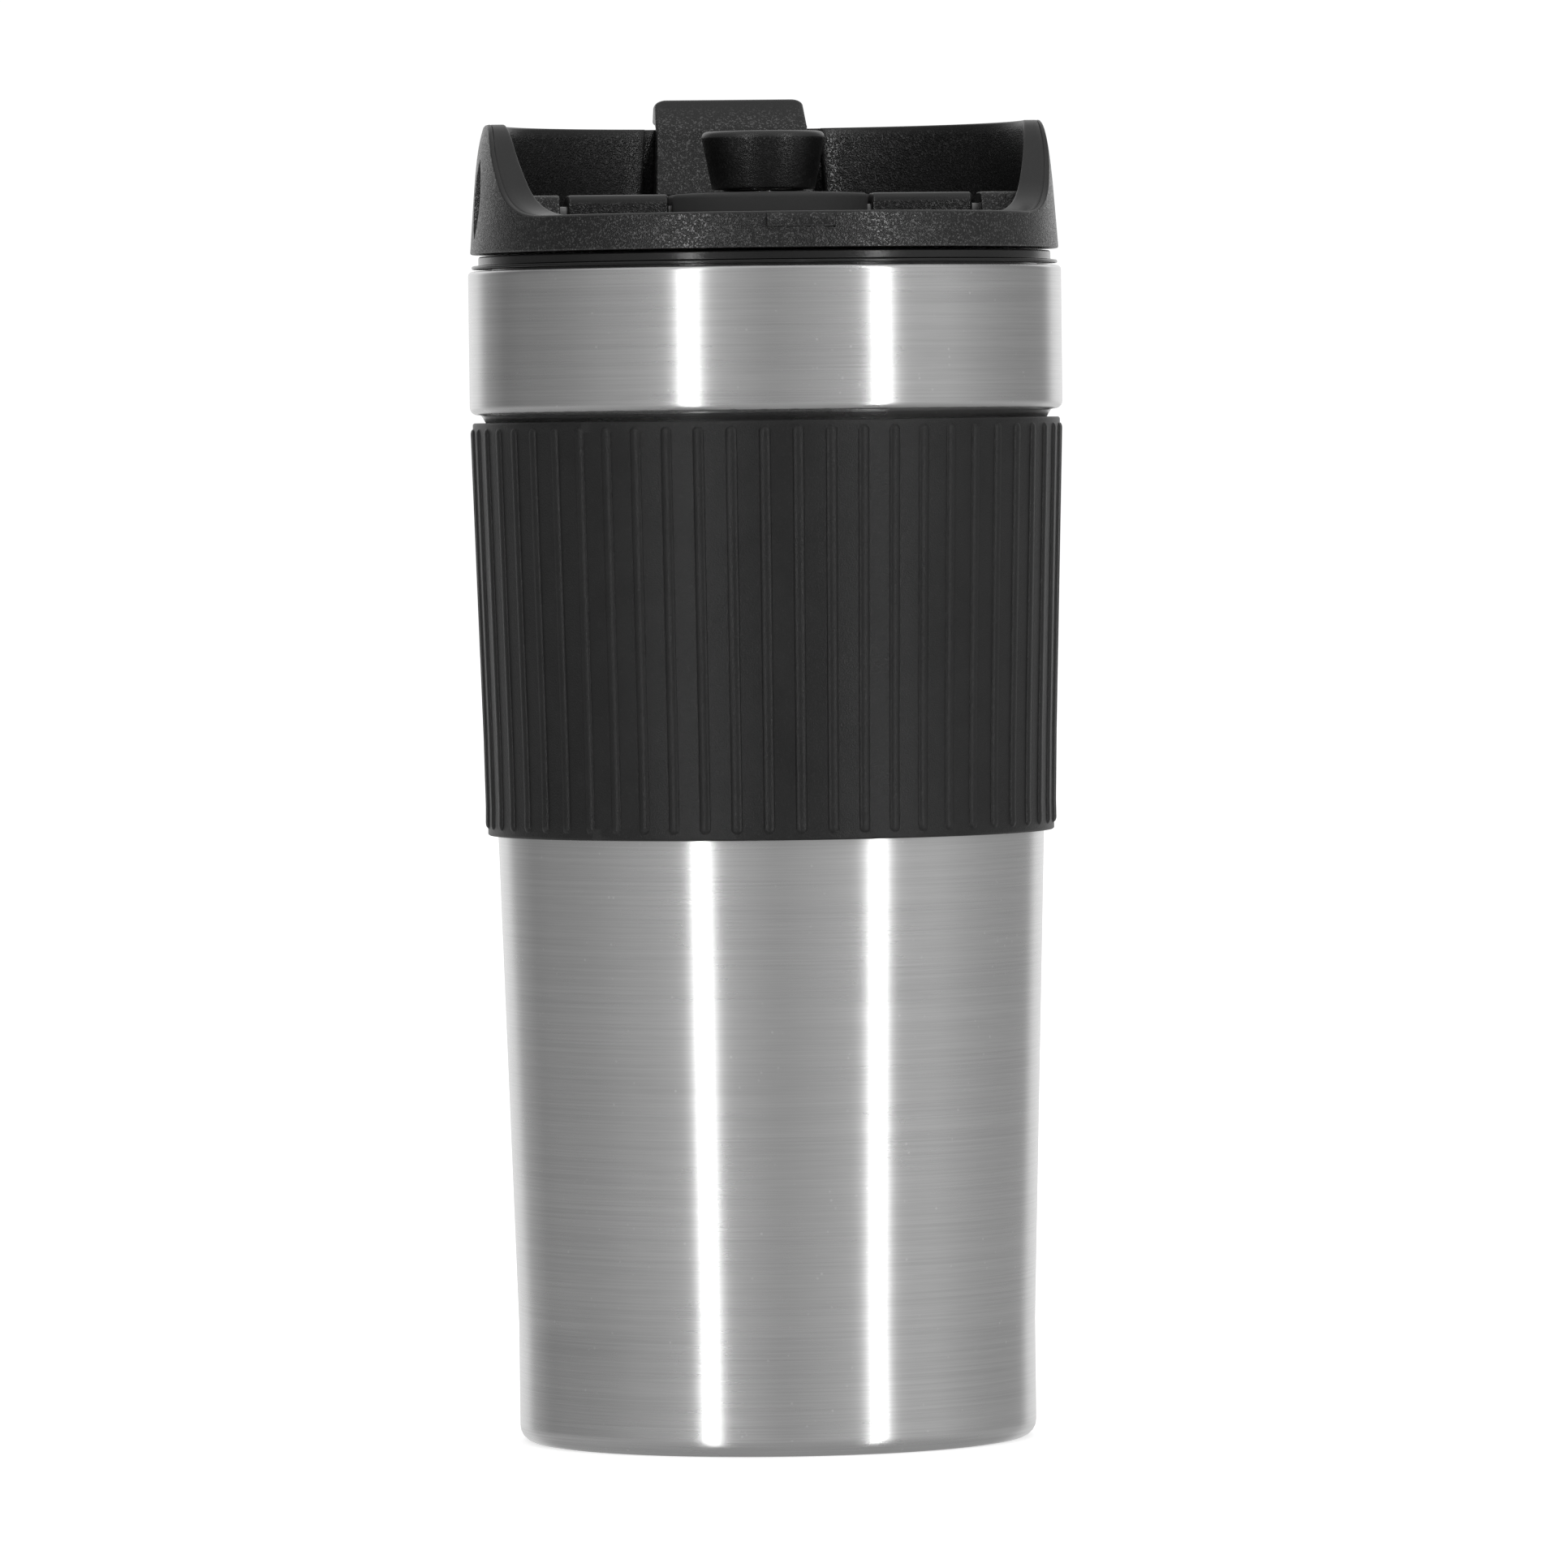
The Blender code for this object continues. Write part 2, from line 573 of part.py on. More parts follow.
def build_lid_insert():
    """Threaded skirt under the deck, with a guide tube for the rod."""
    plate_z = INSERT_TOP_Z - INSERT_PLATE
    bore = ROD_RADIUS + FIT_GAP
    profile = [
        (bore, INSERT_TOP_Z),
        (COLLAR_BORE - FIT_GAP, INSERT_TOP_Z),
        (COLLAR_BORE - FIT_GAP, plate_z),
        (SKIRT_RADIUS, plate_z - THREAD_CREST_HALF),
        (SKIRT_RADIUS, SKIRT_BOTTOM_Z),
        (SKIRT_RADIUS - INSERT_SKIRT_WALL, SKIRT_BOTTOM_Z),
        (SKIRT_RADIUS - INSERT_SKIRT_WALL, plate_z),
        (GUIDE_RADIUS, plate_z),
        (GUIDE_RADIUS, plate_z - GUIDE_LENGTH),
        (bore, plate_z - GUIDE_LENGTH),
    ]
    insert = turned("lid_insert", profile, BLACK_PLASTIC)
    pitch = THREAD_LEAD / THREAD_STARTS
    start_z = BODY_TOP_Z - COLLAR_THREAD_START - pitch / 2
    crest = COLLAR_BORE - (THREAD_WALL_GAP - THREAD_DEPTH)
    join(insert, thread_ridges("insert_ridges", SKIRT_RADIUS - THREAD_ROOT_DEPTH, crest, start_z))
    cut(insert, drink_hole("insert_drink_cut", plate_z - FIT_GAP, INSERT_TOP_Z + FIT_GAP))
    cut(insert, vent_cutter("insert_vent_cut", plate_z - FIT_GAP, INSERT_TOP_Z + FIT_GAP))
    return insert


def vent_cutter(name, low, high):
    """Small round hole that lets air in while someone drinks."""
    place = Matrix.Translation((0.0, VENT_Y, (low + high) / 2))
    return cylinders(name, [place], VENT_RADIUS, high - low)


def build_lid_gasket():
    """Rounded ring under the skirt that seals on the collar's ledge."""
    outer = SKIRT_RADIUS + GASKET_OVERHANG
    inner = SKIRT_RADIUS - INSERT_SKIRT_WALL - GASKET_OVERHANG
    top = SKIRT_BOTTOM_Z - FIT_GAP
    bottom = top - GASKET_HEIGHT
    edge = GASKET_HEIGHT / 4
    profile = [
        (inner + edge, top),
        (outer - edge, top),
        (outer, top - edge),
        (outer, bottom + edge),
        (outer - edge, bottom),
        (inner + edge, bottom),
        (inner, bottom + edge),
        (inner, top - edge),
    ]
    return turned("lid_gasket", profile, SEAL_SILICONE)


# ---- Lid shell --------------------------------------------------------------------------

def lid_radius(height):
    """Outside of the lid's wall: a straight draft that rounds over towards the rim."""
    above = height - LID_BOTTOM_Z
    share = above / LID_WALL_HEIGHT
    return LID_RADIUS - LID_DRAFT * above - LID_SHOULDER_ROUND * share**LID_SHOULDER_POWER


def build_lid_shell():
    """Saddle-shaped wall with its deck, hinge posts, rod hole, drinking hole and tab recess."""
    heights = [RIM_Z - LID_WALL_HEIGHT * (i / WALL_LEVELS) ** WALL_CROWDING for i in range(WALL_LEVELS)]
    hole = SEAL_RADIUS + FIT_GAP
    foot_edge = LID_LIP_ROUND
    profile = [(BOWL_RADIUS + LID_LIP_ROUND, RIM_Z), (lid_radius(RIM_Z) - 2 * LID_LIP_ROUND, RIM_Z)]
    profile += [(lid_radius(z), z - LID_LIP_ROUND) for z in heights]
    profile += [
        (LID_RADIUS, LID_BOTTOM_Z + foot_edge),
        (LID_RADIUS - foot_edge, LID_BOTTOM_Z),
        (hole, LID_BOTTOM_Z),
        (hole, DECK_Z),
        (BOWL_RADIUS, DECK_Z),
        (BOWL_RADIUS, RIM_Z - LID_LIP_ROUND),
    ]
    lid = turned("lid_shell", profile, BLACK_PLASTIC)
    cut(lid, saddle_cutter())
    cut(lid, recess_cutter())
    cut(lid, drink_hole("deck_drink_cut", LID_BOTTOM_Z - FIT_GAP, DECK_Z + FIT_GAP))
    cut(lid, vent_cutter("deck_vent_cut", LID_BOTTOM_Z - FIT_GAP, DECK_Z + FIT_GAP))
    for side in (-1, 1):
        join(lid, hinge_post(side))
    cut(lid, pin_holes("post_pin_holes", POST_INNER_X - PIN_HOLD, POST_INNER_X + PIN_HOLD + FIT_GAP))
    for side in (-1, 1):
        cut(lid, slit_cutter(side))
    join(lid, catch_lug())
    return lid


def saddle_cutter():
    """Prism along X above the low front: flat rim, then an arc, then a straight flank."""
    flank_start = (
        SADDLE_FRONT_Y + SADDLE_RADIUS * math.sin(SADDLE_SLOPE),
        FRONT_RIM_Z + SADDLE_RADIUS * (1.0 - math.cos(SADDLE_SLOPE)),
    )
    top = RIM_Z + LID_WALL
    flank_run = (top - flank_start[1]) / math.tan(SADDLE_SLOPE)
    outline = [(-2.0 * BAND_RADIUS, FRONT_RIM_Z)]
    outline += arc(
        (SADDLE_FRONT_Y, FRONT_RIM_Z + SADDLE_RADIUS), SADDLE_RADIUS, -math.pi / 2, SADDLE_SLOPE - math.pi / 2, 9
    )
    outline += [(flank_start[0] + flank_run, top), (-2.0 * BAND_RADIUS, top)]
    return extruded("saddle_cut", outline, 1.5 * BAND_RADIUS, along_x())


def recess_cutter():
    """Space in the back wall for the tab: its sides widen downwards and its floor is round."""
    floor = lid_radius(RIM_Z) - RECESS_SKIN
    low, high = DECK_Z + FIT_GAP, RIM_Z + LID_WALL
    cutter = turned("recess_cut", [(0.0, high), (floor, high), (floor, low), (0.0, low)], closed=False)
    top_half = TAB_TOP_WIDTH / 2 + RECESS_SIDE_GAP
    bottom_half = TAB_BOTTOM_WIDTH / 2 + RECESS_SIDE_GAP
    below = low - FIT_GAP
    above = high + FIT_GAP
    outline = [(-bottom_half, below), (bottom_half, below), (top_half, above), (-top_half, above)]
    depth = BAND_RADIUS / 2
    wedge = extruded("recess_sides", outline, depth, along_y(y=BOWL_RADIUS - LID_WALL + depth))
    combine(cutter, wedge, "INTERSECT")
    return cutter


def hinge_post(side):
    """Post between the knuckle and the lid's wall."""
    half = KNUCKLE_HALF
    bottom = DECK_Z - DECK_THICKNESS / 2 - HINGE_Z
    outline = [(POST_DEPTH - half, bottom), (POST_DEPTH - half, 0.0)]
    outline += arc((half - KNUCKLE_ROUND, half - KNUCKLE_ROUND), KNUCKLE_ROUND, 0.0, math.pi / 2, 4)
    outline += arc((KNUCKLE_ROUND - half, half - KNUCKLE_ROUND), KNUCKLE_ROUND, math.pi / 2, math.pi, 4)
    outline += [(-half - KNUCKLE_ROUND, bottom)]
    outer = BOWL_RADIUS + LID_WALL / 3
    centre = side * (POST_INNER_X + outer) / 2
    return extruded(
        f"post_{'left' if side < 0 else 'right'}",
        outline,
        (outer - POST_INNER_X) / 2,
        along_x(centre, HINGE_Y, HINGE_Z),
    )


def pin_holes(name, inner, outer):
    """Round holes on the hinge line, one on each side."""
    places = [along_x(side * (inner + outer) / 2, HINGE_Y, HINGE_Z) for side in (-1, 1)]
    return cylinders(name, places, PIN_RADIUS + RUNNING_CLEARANCE, outer - inner)


def slit_cutter(side):
    """Upright slit with pointed ends in the outside of the wall, in line with the hinge."""
    half = SLIT_HEIGHT / 2
    bulge = SLIT_WIDTH / 2
    radius = (half**2 + bulge**2) / (2.0 * bulge)
    spread = math.asin(half / radius)
    outline = arc((bulge - radius, 0.0), radius, -spread, spread, 9)
    outline += arc((radius - bulge, 0.0), radius, math.pi - spread, math.pi + spread, 9)[1:-1]
    rise = LID_BOTTOM_Z + SLIT_RISE
    floor = lid_radius(rise) - SLIT_DEPTH
    return extruded(
        f"slit_{'left' if side < 0 else 'right'}",
        outline,
        SLIT_DEPTH * 2.0,
        along_x(side * (floor + SLIT_DEPTH * 2.0), SLIT_Y, rise),
    )


def catch_lug():
    """Low wedge on the outside of the front rim that the opened tab snaps over."""
    high = FRONT_RIM_Z - LUG_BELOW_RIM
    face = LID_RADIUS - LID_DRAFT * FRONT_RIM_HEIGHT
    outline = [
        (-face + LID_WALL / 2, high),
        (-face - LUG_PROUD / 2, high),
        (-face - LUG_PROUD, high - LUG_HEIGHT / 3),
        (-face - LUG_PROUD, high - LUG_HEIGHT),
        (-face + LID_WALL / 2, high - LUG_HEIGHT),
    ]
    return extruded("catch_lug", outline, LUG_WIDTH / 2, along_x())


# ---- Boss, knob and press ---------------------------------------------------------------

def build_centre_boss():
    """Domed boss around the rod, notched beside the knuckles and bored for the pins."""
    edge_z = BOSS_BOTTOM_Z + BOSS_EDGE_HEIGHT
    seal_top = INSERT_TOP_Z + FIT_GAP + SEAL_HEIGHT + FIT_GAP
    counterbore = SEAL_RADIUS + FIT_GAP
    bore = ROD_RADIUS + RUNNING_CLEARANCE
    profile = [(bore, BOSS_TOP_Z), (BOSS_RADIUS / 2, BOSS_TOP_Z - BOSS_DOME / 4)]
    profile += arc(
        (BOSS_RADIUS - BOSS_EDGE_ROUND, edge_z - BOSS_EDGE_ROUND), BOSS_EDGE_ROUND, math.pi / 2, 0.0, 4
    )
    profile += [
        (BOSS_RADIUS, BOSS_BOTTOM_Z),
        (counterbore, BOSS_BOTTOM_Z),
        (counterbore, seal_top),
        (bore, seal_top),
    ]
    boss = turned("centre_boss", profile, BLACK_PLASTIC, steps=LARGE_STEPS)
    sweep = KNUCKLE_HALF * math.sqrt(2.0) + FIT_GAP
    for side in (-1, 1):
        near, far = side * BOSS_NOTCH_X, side * (BOSS_RADIUS + FIT_GAP)
        cut(
            boss,
            box(
                f"boss_notch_{'left' if side < 0 else 'right'}",
                (min(near, far), HINGE_Y - sweep, BOSS_BOTTOM_Z - FIT_GAP),
                (max(near, far), HINGE_Y + sweep, BOSS_TOP_Z + FIT_GAP),
            ),
        )
    cut(boss, pin_holes("boss_pin_holes", BOSS_NOTCH_X - PIN_HOLD - FIT_GAP, BOSS_NOTCH_X + PIN_HOLD))
    return boss


def build_plunger_knob():
    """Inverted cone with a rounded top edge and a socket for the rod."""
    top = KNOB_Z + KNOB_HEIGHT
    socket = ROD_RADIUS + FIT_GAP
    profile = [(0.0, top), (KNOB_TOP_RADIUS - 2 * KNOB_EDGE, top)]
    profile += arc((KNOB_TOP_RADIUS - KNOB_EDGE, top - KNOB_EDGE), KNOB_EDGE, math.pi / 2, 0.0, 4)
    profile += [
        (KNOB_BOTTOM_RADIUS, KNOB_Z + KNOB_EDGE / 2),
        (KNOB_BOTTOM_RADIUS - KNOB_EDGE / 2, KNOB_Z),
        (socket, KNOB_Z),
        (socket, KNOB_Z + KNOB_SOCKET),
        (0.0, KNOB_Z + KNOB_SOCKET),
    ]
    return turned("plunger_knob", profile, KNOB_PLASTIC, steps=MEDIUM_STEPS, closed=False)


def ring_profile(inner, outer, low, high):
    """Profile of a flat ring."""
    return [(inner, high), (outer, high), (outer, low), (inner, low)]


def build_press():
    """Rod, seal and the stack of filter pieces at the rod's foot."""
    bore = ROD_RADIUS + FIT_GAP
    rod_low = FILTER_Z - CROSS_HUB_HEIGHT / 2
    rod_high = KNOB_Z + KNOB_SOCKET - FIT_GAP
    turned(
        "plunger_rod",
        [(0.0, rod_high), (ROD_RADIUS, rod_high), (ROD_RADIUS, rod_low), (0.0, rod_low)],
        PIN_STEEL,
        steps=LARGE_STEPS,
        closed=False,
    )
    seal_low = INSERT_TOP_Z + FIT_GAP
    turned(
        "rod_seal",
        ring_profile(ROD_RADIUS + RUNNING_CLEARANCE, SEAL_RADIUS, seal_low, seal_low + SEAL_HEIGHT),
        SEAL_SILICONE,
        steps=LARGE_STEPS,
    )

    plate_radius = FILTER_RADIUS - CROSS_PLATE_INSET
    plate_top = FILTER_Z + FILTER_PLATE
    hub_low = FILTER_Z - CROSS_HUB_HEIGHT
    cross = turned(
        "cross_plate",
        [
            (bore, plate_top),
            (plate_radius, plate_top),
            (plate_radius, FILTER_Z),
            (CROSS_HUB_RADIUS, FILTER_Z),
            (CROSS_HUB_RADIUS, hub_low),
            (0.0, hub_low),
            (0.0, rod_low - FIT_GAP),
            (bore, rod_low - FIT_GAP),
        ],
        LINER_STEEL,
        steps=MEDIUM_STEPS,
    )
    cut(cross, filter_holes("cross_holes", plate_radius, FILTER_Z, plate_top))

    mesh_low = plate_top + FIT_GAP
    mesh_high = mesh_low + MESH_THICKNESS
    rim = FILTER_RADIUS
    turned(
        "filter_mesh",
        [
            (rim - MESH_THICKNESS, mesh_high + MESH_EDGE_HEIGHT),
            (rim, mesh_high + MESH_EDGE_HEIGHT),
            (rim, mesh_low),
            (bore, mesh_low),
            (bore, mesh_high),
            (rim - MESH_THICKNESS, mesh_high),
        ],
        LINER_STEEL,
        steps=MEDIUM_STEPS,
    )

    ring_radius = rim - MESH_THICKNESS - FIT_GAP - SPRING_WIRE_RADIUS
    ring_z = mesh_high + FIT_GAP + SPRING_WIRE_RADIUS
    turned(
        "spring_ring",
        arc((ring_radius, ring_z), SPRING_WIRE_RADIUS, math.pi, -math.pi + 2 * math.pi / 10, 10),
        PIN_STEEL,
        steps=MEDIUM_STEPS,
    )

    spiral_radius = ring_radius - SPRING_WIRE_RADIUS - FIT_GAP
    spiral_low = mesh_high + FIT_GAP
    spiral_high = spiral_low + SPIRAL_PLATE_THICKNESS
    spiral = turned(
        "spiral_plate",
        ring_profile(bore, spiral_radius, spiral_low, spiral_high),
        LINER_STEEL,
        steps=MEDIUM_STEPS,
    )
    cut(spiral, filter_holes("spiral_holes", spiral_radius, spiral_low, spiral_high))

    nut_low = spiral_high + FIT_GAP
    nut = cylinders(
        "press_nut",
        [Matrix.Translation((0.0, 0.0, nut_low + NUT_HEIGHT / 2))],
        NUT_RADIUS,
        NUT_HEIGHT,
        PIN_STEEL,
        steps=6,
    )
    cut(nut, cylinders("nut_bore", [Matrix.Translation((0.0, 0.0, nut_low))], bore, 4 * NUT_HEIGHT))


def filter_holes(name, radius, low, high):
    """Ring of round holes through a filter plate."""
    ring = radius * HOLE_RING_SHARE
    hole = radius * HOLE_SHARE
    places = [
        Matrix.Rotation(i * 2.0 * math.pi / FILTER_HOLES, 4, "Z") @ Matrix.Translation((ring, 0.0, (low + high) / 2))
        for i in range(FILTER_HOLES)
    ]
    return cylinders(name, places, hole, (high - low) * 3, steps=16)


# ---- Flap -------------------------------------------------------------------------------

def build_flap():
    """Forked plate with two knuckles and a leaning thumb tab, turning on the hinge line."""
    hinge = bpy.data.objects.new("flap_axis", None)
    hinge.location = (0.0, HINGE_Y, HINGE_Z)
    PARTS.objects.link(hinge)

    plate = turned(
        "drinking_flap",
        [
            (0.0, PLATE_TOP_Z),
            (PLATE_RADIUS, PLATE_TOP_Z),
            (PLATE_RADIUS, PLATE_BOTTOM_Z),
            (0.0, PLATE_BOTTOM_Z),
        ],
        BLACK_PLASTIC,
        closed=False,
    )
    front = HINGE_Y + KNUCKLE_HALF / 2
    low, high = PLATE_BOTTOM_Z - FIT_GAP, PLATE_TOP_Z + FIT_GAP
    reach = BAND_RADIUS * 1.5
    cut(plate, box("flap_front_cut", (-reach, -reach, low), (reach, front, high)))
    for side in (-1, 1):
        near, far = side * KNUCKLE_OUTER_X, side * reach
        cut(
            plate,
            box(
                f"flap_side_cut_{'left' if side < 0 else 'right'}",
                (min(near, far), -reach, low),
                (max(near, far), reach, high),
            ),
        )
    for side in (-1, 1):
        join(plate, knuckle(side))
    join(plate, thumb_tab())
    opening = BOSS_RADIUS + FREE_GAP + FIT_GAP
    cut(plate, cylinders("flap_boss_cut", [Matrix.Translation((0.0, 0.0, HINGE_Z))], opening, 4 * (high - low),
                         steps=LARGE_STEPS))
    cut(plate, pin_holes("knuckle_pin_holes", KNUCKLE_INNER_X - FIT_GAP, KNUCKLE_OUTER_X + FIT_GAP))
    hold_origin(plate, hinge)

    pad_high = PLATE_BOTTOM_Z - FIT_GAP
    pad = drink_hole("flap_seal", pad_high - SEAL_PAD_HEIGHT, pad_high, SEAL_PAD_MARGIN, SEAL_SILICONE)
    plug_low = DECK_Z - SEAL_PLUG_DEPTH
    join(pad, drink_hole("seal_plug", plug_low, pad_high - SEAL_PAD_HEIGHT / 2, -FREE_GAP))
    hold_origin(pad, hinge)


def hold_origin(item, parent):
    """Parent an object to its joint's empty and leave it where it is."""
    item.parent = parent
    item.matrix_parent_inverse = Matrix.Translation(-parent.location)


def knuckle(side):
    """Block around the pin at the front of the flap's arm, with its top edges rounded."""
    half = KNUCKLE_HALF
    outline = arc((half - KNUCKLE_ROUND, half - KNUCKLE_ROUND), KNUCKLE_ROUND, 0.0, math.pi / 2, 4)
    outline += arc((KNUCKLE_ROUND - half, half - KNUCKLE_ROUND), KNUCKLE_ROUND, math.pi / 2, math.pi, 4)
    outline += arc((KNUCKLE_ROUND - half, KNUCKLE_ROUND - half), KNUCKLE_ROUND, math.pi, 1.5 * math.pi, 4)
    outline += arc((half - KNUCKLE_ROUND, KNUCKLE_ROUND - half), KNUCKLE_ROUND, -math.pi / 2, 0.0, 4)
    centre = side * (KNUCKLE_INNER_X + KNUCKLE_OUTER_X) / 2
    return extruded(
        f"knuckle_{'left' if side < 0 else 'right'}", outline, KNUCKLE_LENGTH / 2, along_x(centre, HINGE_Y, HINGE_Z)
    )


def thumb_tab():
    """Tab that leans back through the recess and over the rim, narrowing upwards."""
    top = RIM_Z + TAB_RISE
    rim_y = TAB_FRONT_Y + TAB_LEAN
    top_y = rim_y + TAB_TOP_LEAN
    low = PLATE_BOTTOM_Z + FIT_GAP
    back = top_y + TAB_TOP_THICKNESS
    round_top = TAB_TOP_THICKNESS / 2
    outline = [
        (TAB_FRONT_Y, low),
        (BAND_RADIUS, low),
        (BAND_RADIUS, RIM_Z + TAB_OVERHANG_GAP),
        (back, RIM_Z + TAB_OVERHANG_GAP + round_top / 2),
    ]
    outline += arc((top_y + round_top, top - round_top), round_top, 0.0, math.pi, 7)
    outline += [(rim_y, RIM_Z), (TAB_FRONT_Y, PLATE_TOP_Z)]
    tab = extruded("thumb_tab", outline, BAND_RADIUS, along_x())
    bottom_half, top_half = TAB_BOTTOM_WIDTH / 2, TAB_TOP_WIDTH / 2
    corner = KNUCKLE_ROUND
    front = [(-bottom_half, low - FIT_GAP), (bottom_half, low - FIT_GAP)]
    front += arc((top_half - corner, top - corner), corner, 0.0, math.pi / 2, 4)
    front += arc((corner - top_half, top - corner), corner, math.pi / 2, math.pi, 4)
    combine(tab, extruded("tab_front_shape", front, BAND_RADIUS, along_y(y=BAND_RADIUS)), "INTERSECT")
    inside = lid_radius(RIM_Z) - RECESS_SKIN - FIT_GAP
    over = RIM_Z + TAB_OVERHANG_GAP
    envelope = [(0.0, top + FIT_GAP), (2 * BAND_RADIUS, top + FIT_GAP), (2 * BAND_RADIUS, over), (inside, over)]
    envelope += [(inside, low - FIT_GAP), (0.0, low - FIT_GAP)]
    combine(tab, turned("tab_envelope", envelope, closed=False), "INTERSECT")
    return tab


def build_hinge_pins():
    """One pin through each knuckle, held in the boss and in the post."""
    inner, outer = BOSS_NOTCH_X - PIN_HOLD, POST_INNER_X + PIN_HOLD
    for side, name in ((-1, "hinge_pin_left"), (1, "hinge_pin_right")):
        place = along_x(side * (inner + outer) / 2, HINGE_Y, HINGE_Z)
        cylinders(name, [place], PIN_RADIUS, outer - inner, PIN_STEEL)


build_outer_shell()
build_inner_liner()
build_base_plate()
build_grip_sleeve()
build_thread_collar()
build_lid_insert()
build_lid_gasket()
build_lid_shell()
build_centre_boss()
build_plunger_knob()
build_press()
build_hinge_pins()
build_flap()
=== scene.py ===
"""Insulated travel mug with a built-in press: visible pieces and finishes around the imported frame.

Metres, +Z up, -Y is the low front of the lid. An angle around the mug is measured from the front,
so the direction of angle a is (sin a, -cos a). Each piece is a surface worked out on a grid.
"""

import logging
import math
from dataclasses import dataclass, field
from enum import Enum

import bpy
import numpy as np
from mathutils import Matrix, Vector
from mathutils.geometry import tessellate_polygon


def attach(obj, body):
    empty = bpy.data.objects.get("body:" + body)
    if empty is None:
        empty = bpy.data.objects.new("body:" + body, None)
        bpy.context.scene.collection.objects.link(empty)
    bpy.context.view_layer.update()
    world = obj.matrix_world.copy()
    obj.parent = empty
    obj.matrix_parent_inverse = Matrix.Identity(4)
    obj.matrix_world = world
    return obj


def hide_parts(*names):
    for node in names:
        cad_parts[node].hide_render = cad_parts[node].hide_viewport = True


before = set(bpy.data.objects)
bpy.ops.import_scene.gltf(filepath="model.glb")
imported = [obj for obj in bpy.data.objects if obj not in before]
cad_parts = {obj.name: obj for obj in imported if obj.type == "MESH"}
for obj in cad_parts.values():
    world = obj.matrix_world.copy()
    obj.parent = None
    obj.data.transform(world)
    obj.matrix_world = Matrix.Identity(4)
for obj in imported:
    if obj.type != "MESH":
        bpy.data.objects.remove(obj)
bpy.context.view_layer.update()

LOG = logging.getLogger("travel_mug")
MM = 0.001


# ---- Surfaces ---------------------------------------------------------------------------


@dataclass
class Surface:
    """A closed surface: its points, its faces, and the edges that stay crisp.

    Attributes:
        points: Positions, one row for each point.
        quads: Four point numbers for each four-sided face.
        triangles: Three point numbers for each three-sided face.
        crisp: Pairs of point numbers whose edge is shaded as a corner.
        polish: For each point, 0 where the mould is textured and 1 where it is smooth.
    """

    points: np.ndarray
    quads: np.ndarray
    triangles: np.ndarray = field(default_factory=lambda: np.zeros((0, 3), int))
    crisp: np.ndarray = field(default_factory=lambda: np.zeros((0, 2), int))
    polish: np.ndarray | None = None

    def polished(self) -> np.ndarray:
        """Return the polish of every point, 0 where none was given."""
        return np.zeros(len(self.points)) if self.polish is None else self.polish

    def joined(self, *others: "Surface") -> "Surface":
        """Put several surfaces into one.

        Args:
            others: The surfaces that go with this one.

        Returns:
            One surface with every point and face.
        """
        parts = (self, *others)
        shift = np.cumsum([0] + [len(part.points) for part in parts[:-1]])
        return Surface(
            np.concatenate([part.points for part in parts]),
            np.concatenate([part.quads + at for part, at in zip(parts, shift)]),
            np.concatenate([part.triangles + at for part, at in zip(parts, shift)]),
            np.concatenate([part.crisp + at for part, at in zip(parts, shift)]),
            np.concatenate([part.polished() for part in parts]),
        )


def grid(points: np.ndarray, wrap_u: bool = True, wrap_v: bool = False) -> Surface:
    """Join a grid of points into four-sided faces that face du x dv.

    Args:
        points: Positions, indexed by column u, row v and axis.
        wrap_u: Whether the last column meets the first.
        wrap_v: Whether the last row meets the first.

    Returns:
        The surface.
    """
    columns, rows = points.shape[:2]
    u = np.arange(columns if wrap_u else columns - 1)
    v = np.arange(rows if wrap_v else rows - 1)
    left, low = (part.ravel() for part in np.meshgrid(u, v, indexing="ij"))
    right, high = (left + 1) % columns, (low + 1) % rows
    corners = [left * rows + low, right * rows + low, right * rows + high, left * rows + high]
    return Surface(points.reshape(-1, 3), np.stack(corners, axis=1))


def arc(centre: tuple[float, float], radius: float, start: float, end: float, steps: int) -> np.ndarray:
    """Points on a circle: centre plus radius times (cos, sin) of evenly spaced angles.

    Args:
        centre: The circle's centre.
        radius: Its radius.
        start: First angle in degrees.
        end: Last angle in degrees.
        steps: Number of intervals.

    Returns:
        One row for each point.
    """
    angle = np.radians(np.linspace(start, end, steps + 1))
    return np.stack([centre[0] + radius * np.cos(angle), centre[1] + radius * np.sin(angle)], axis=1)


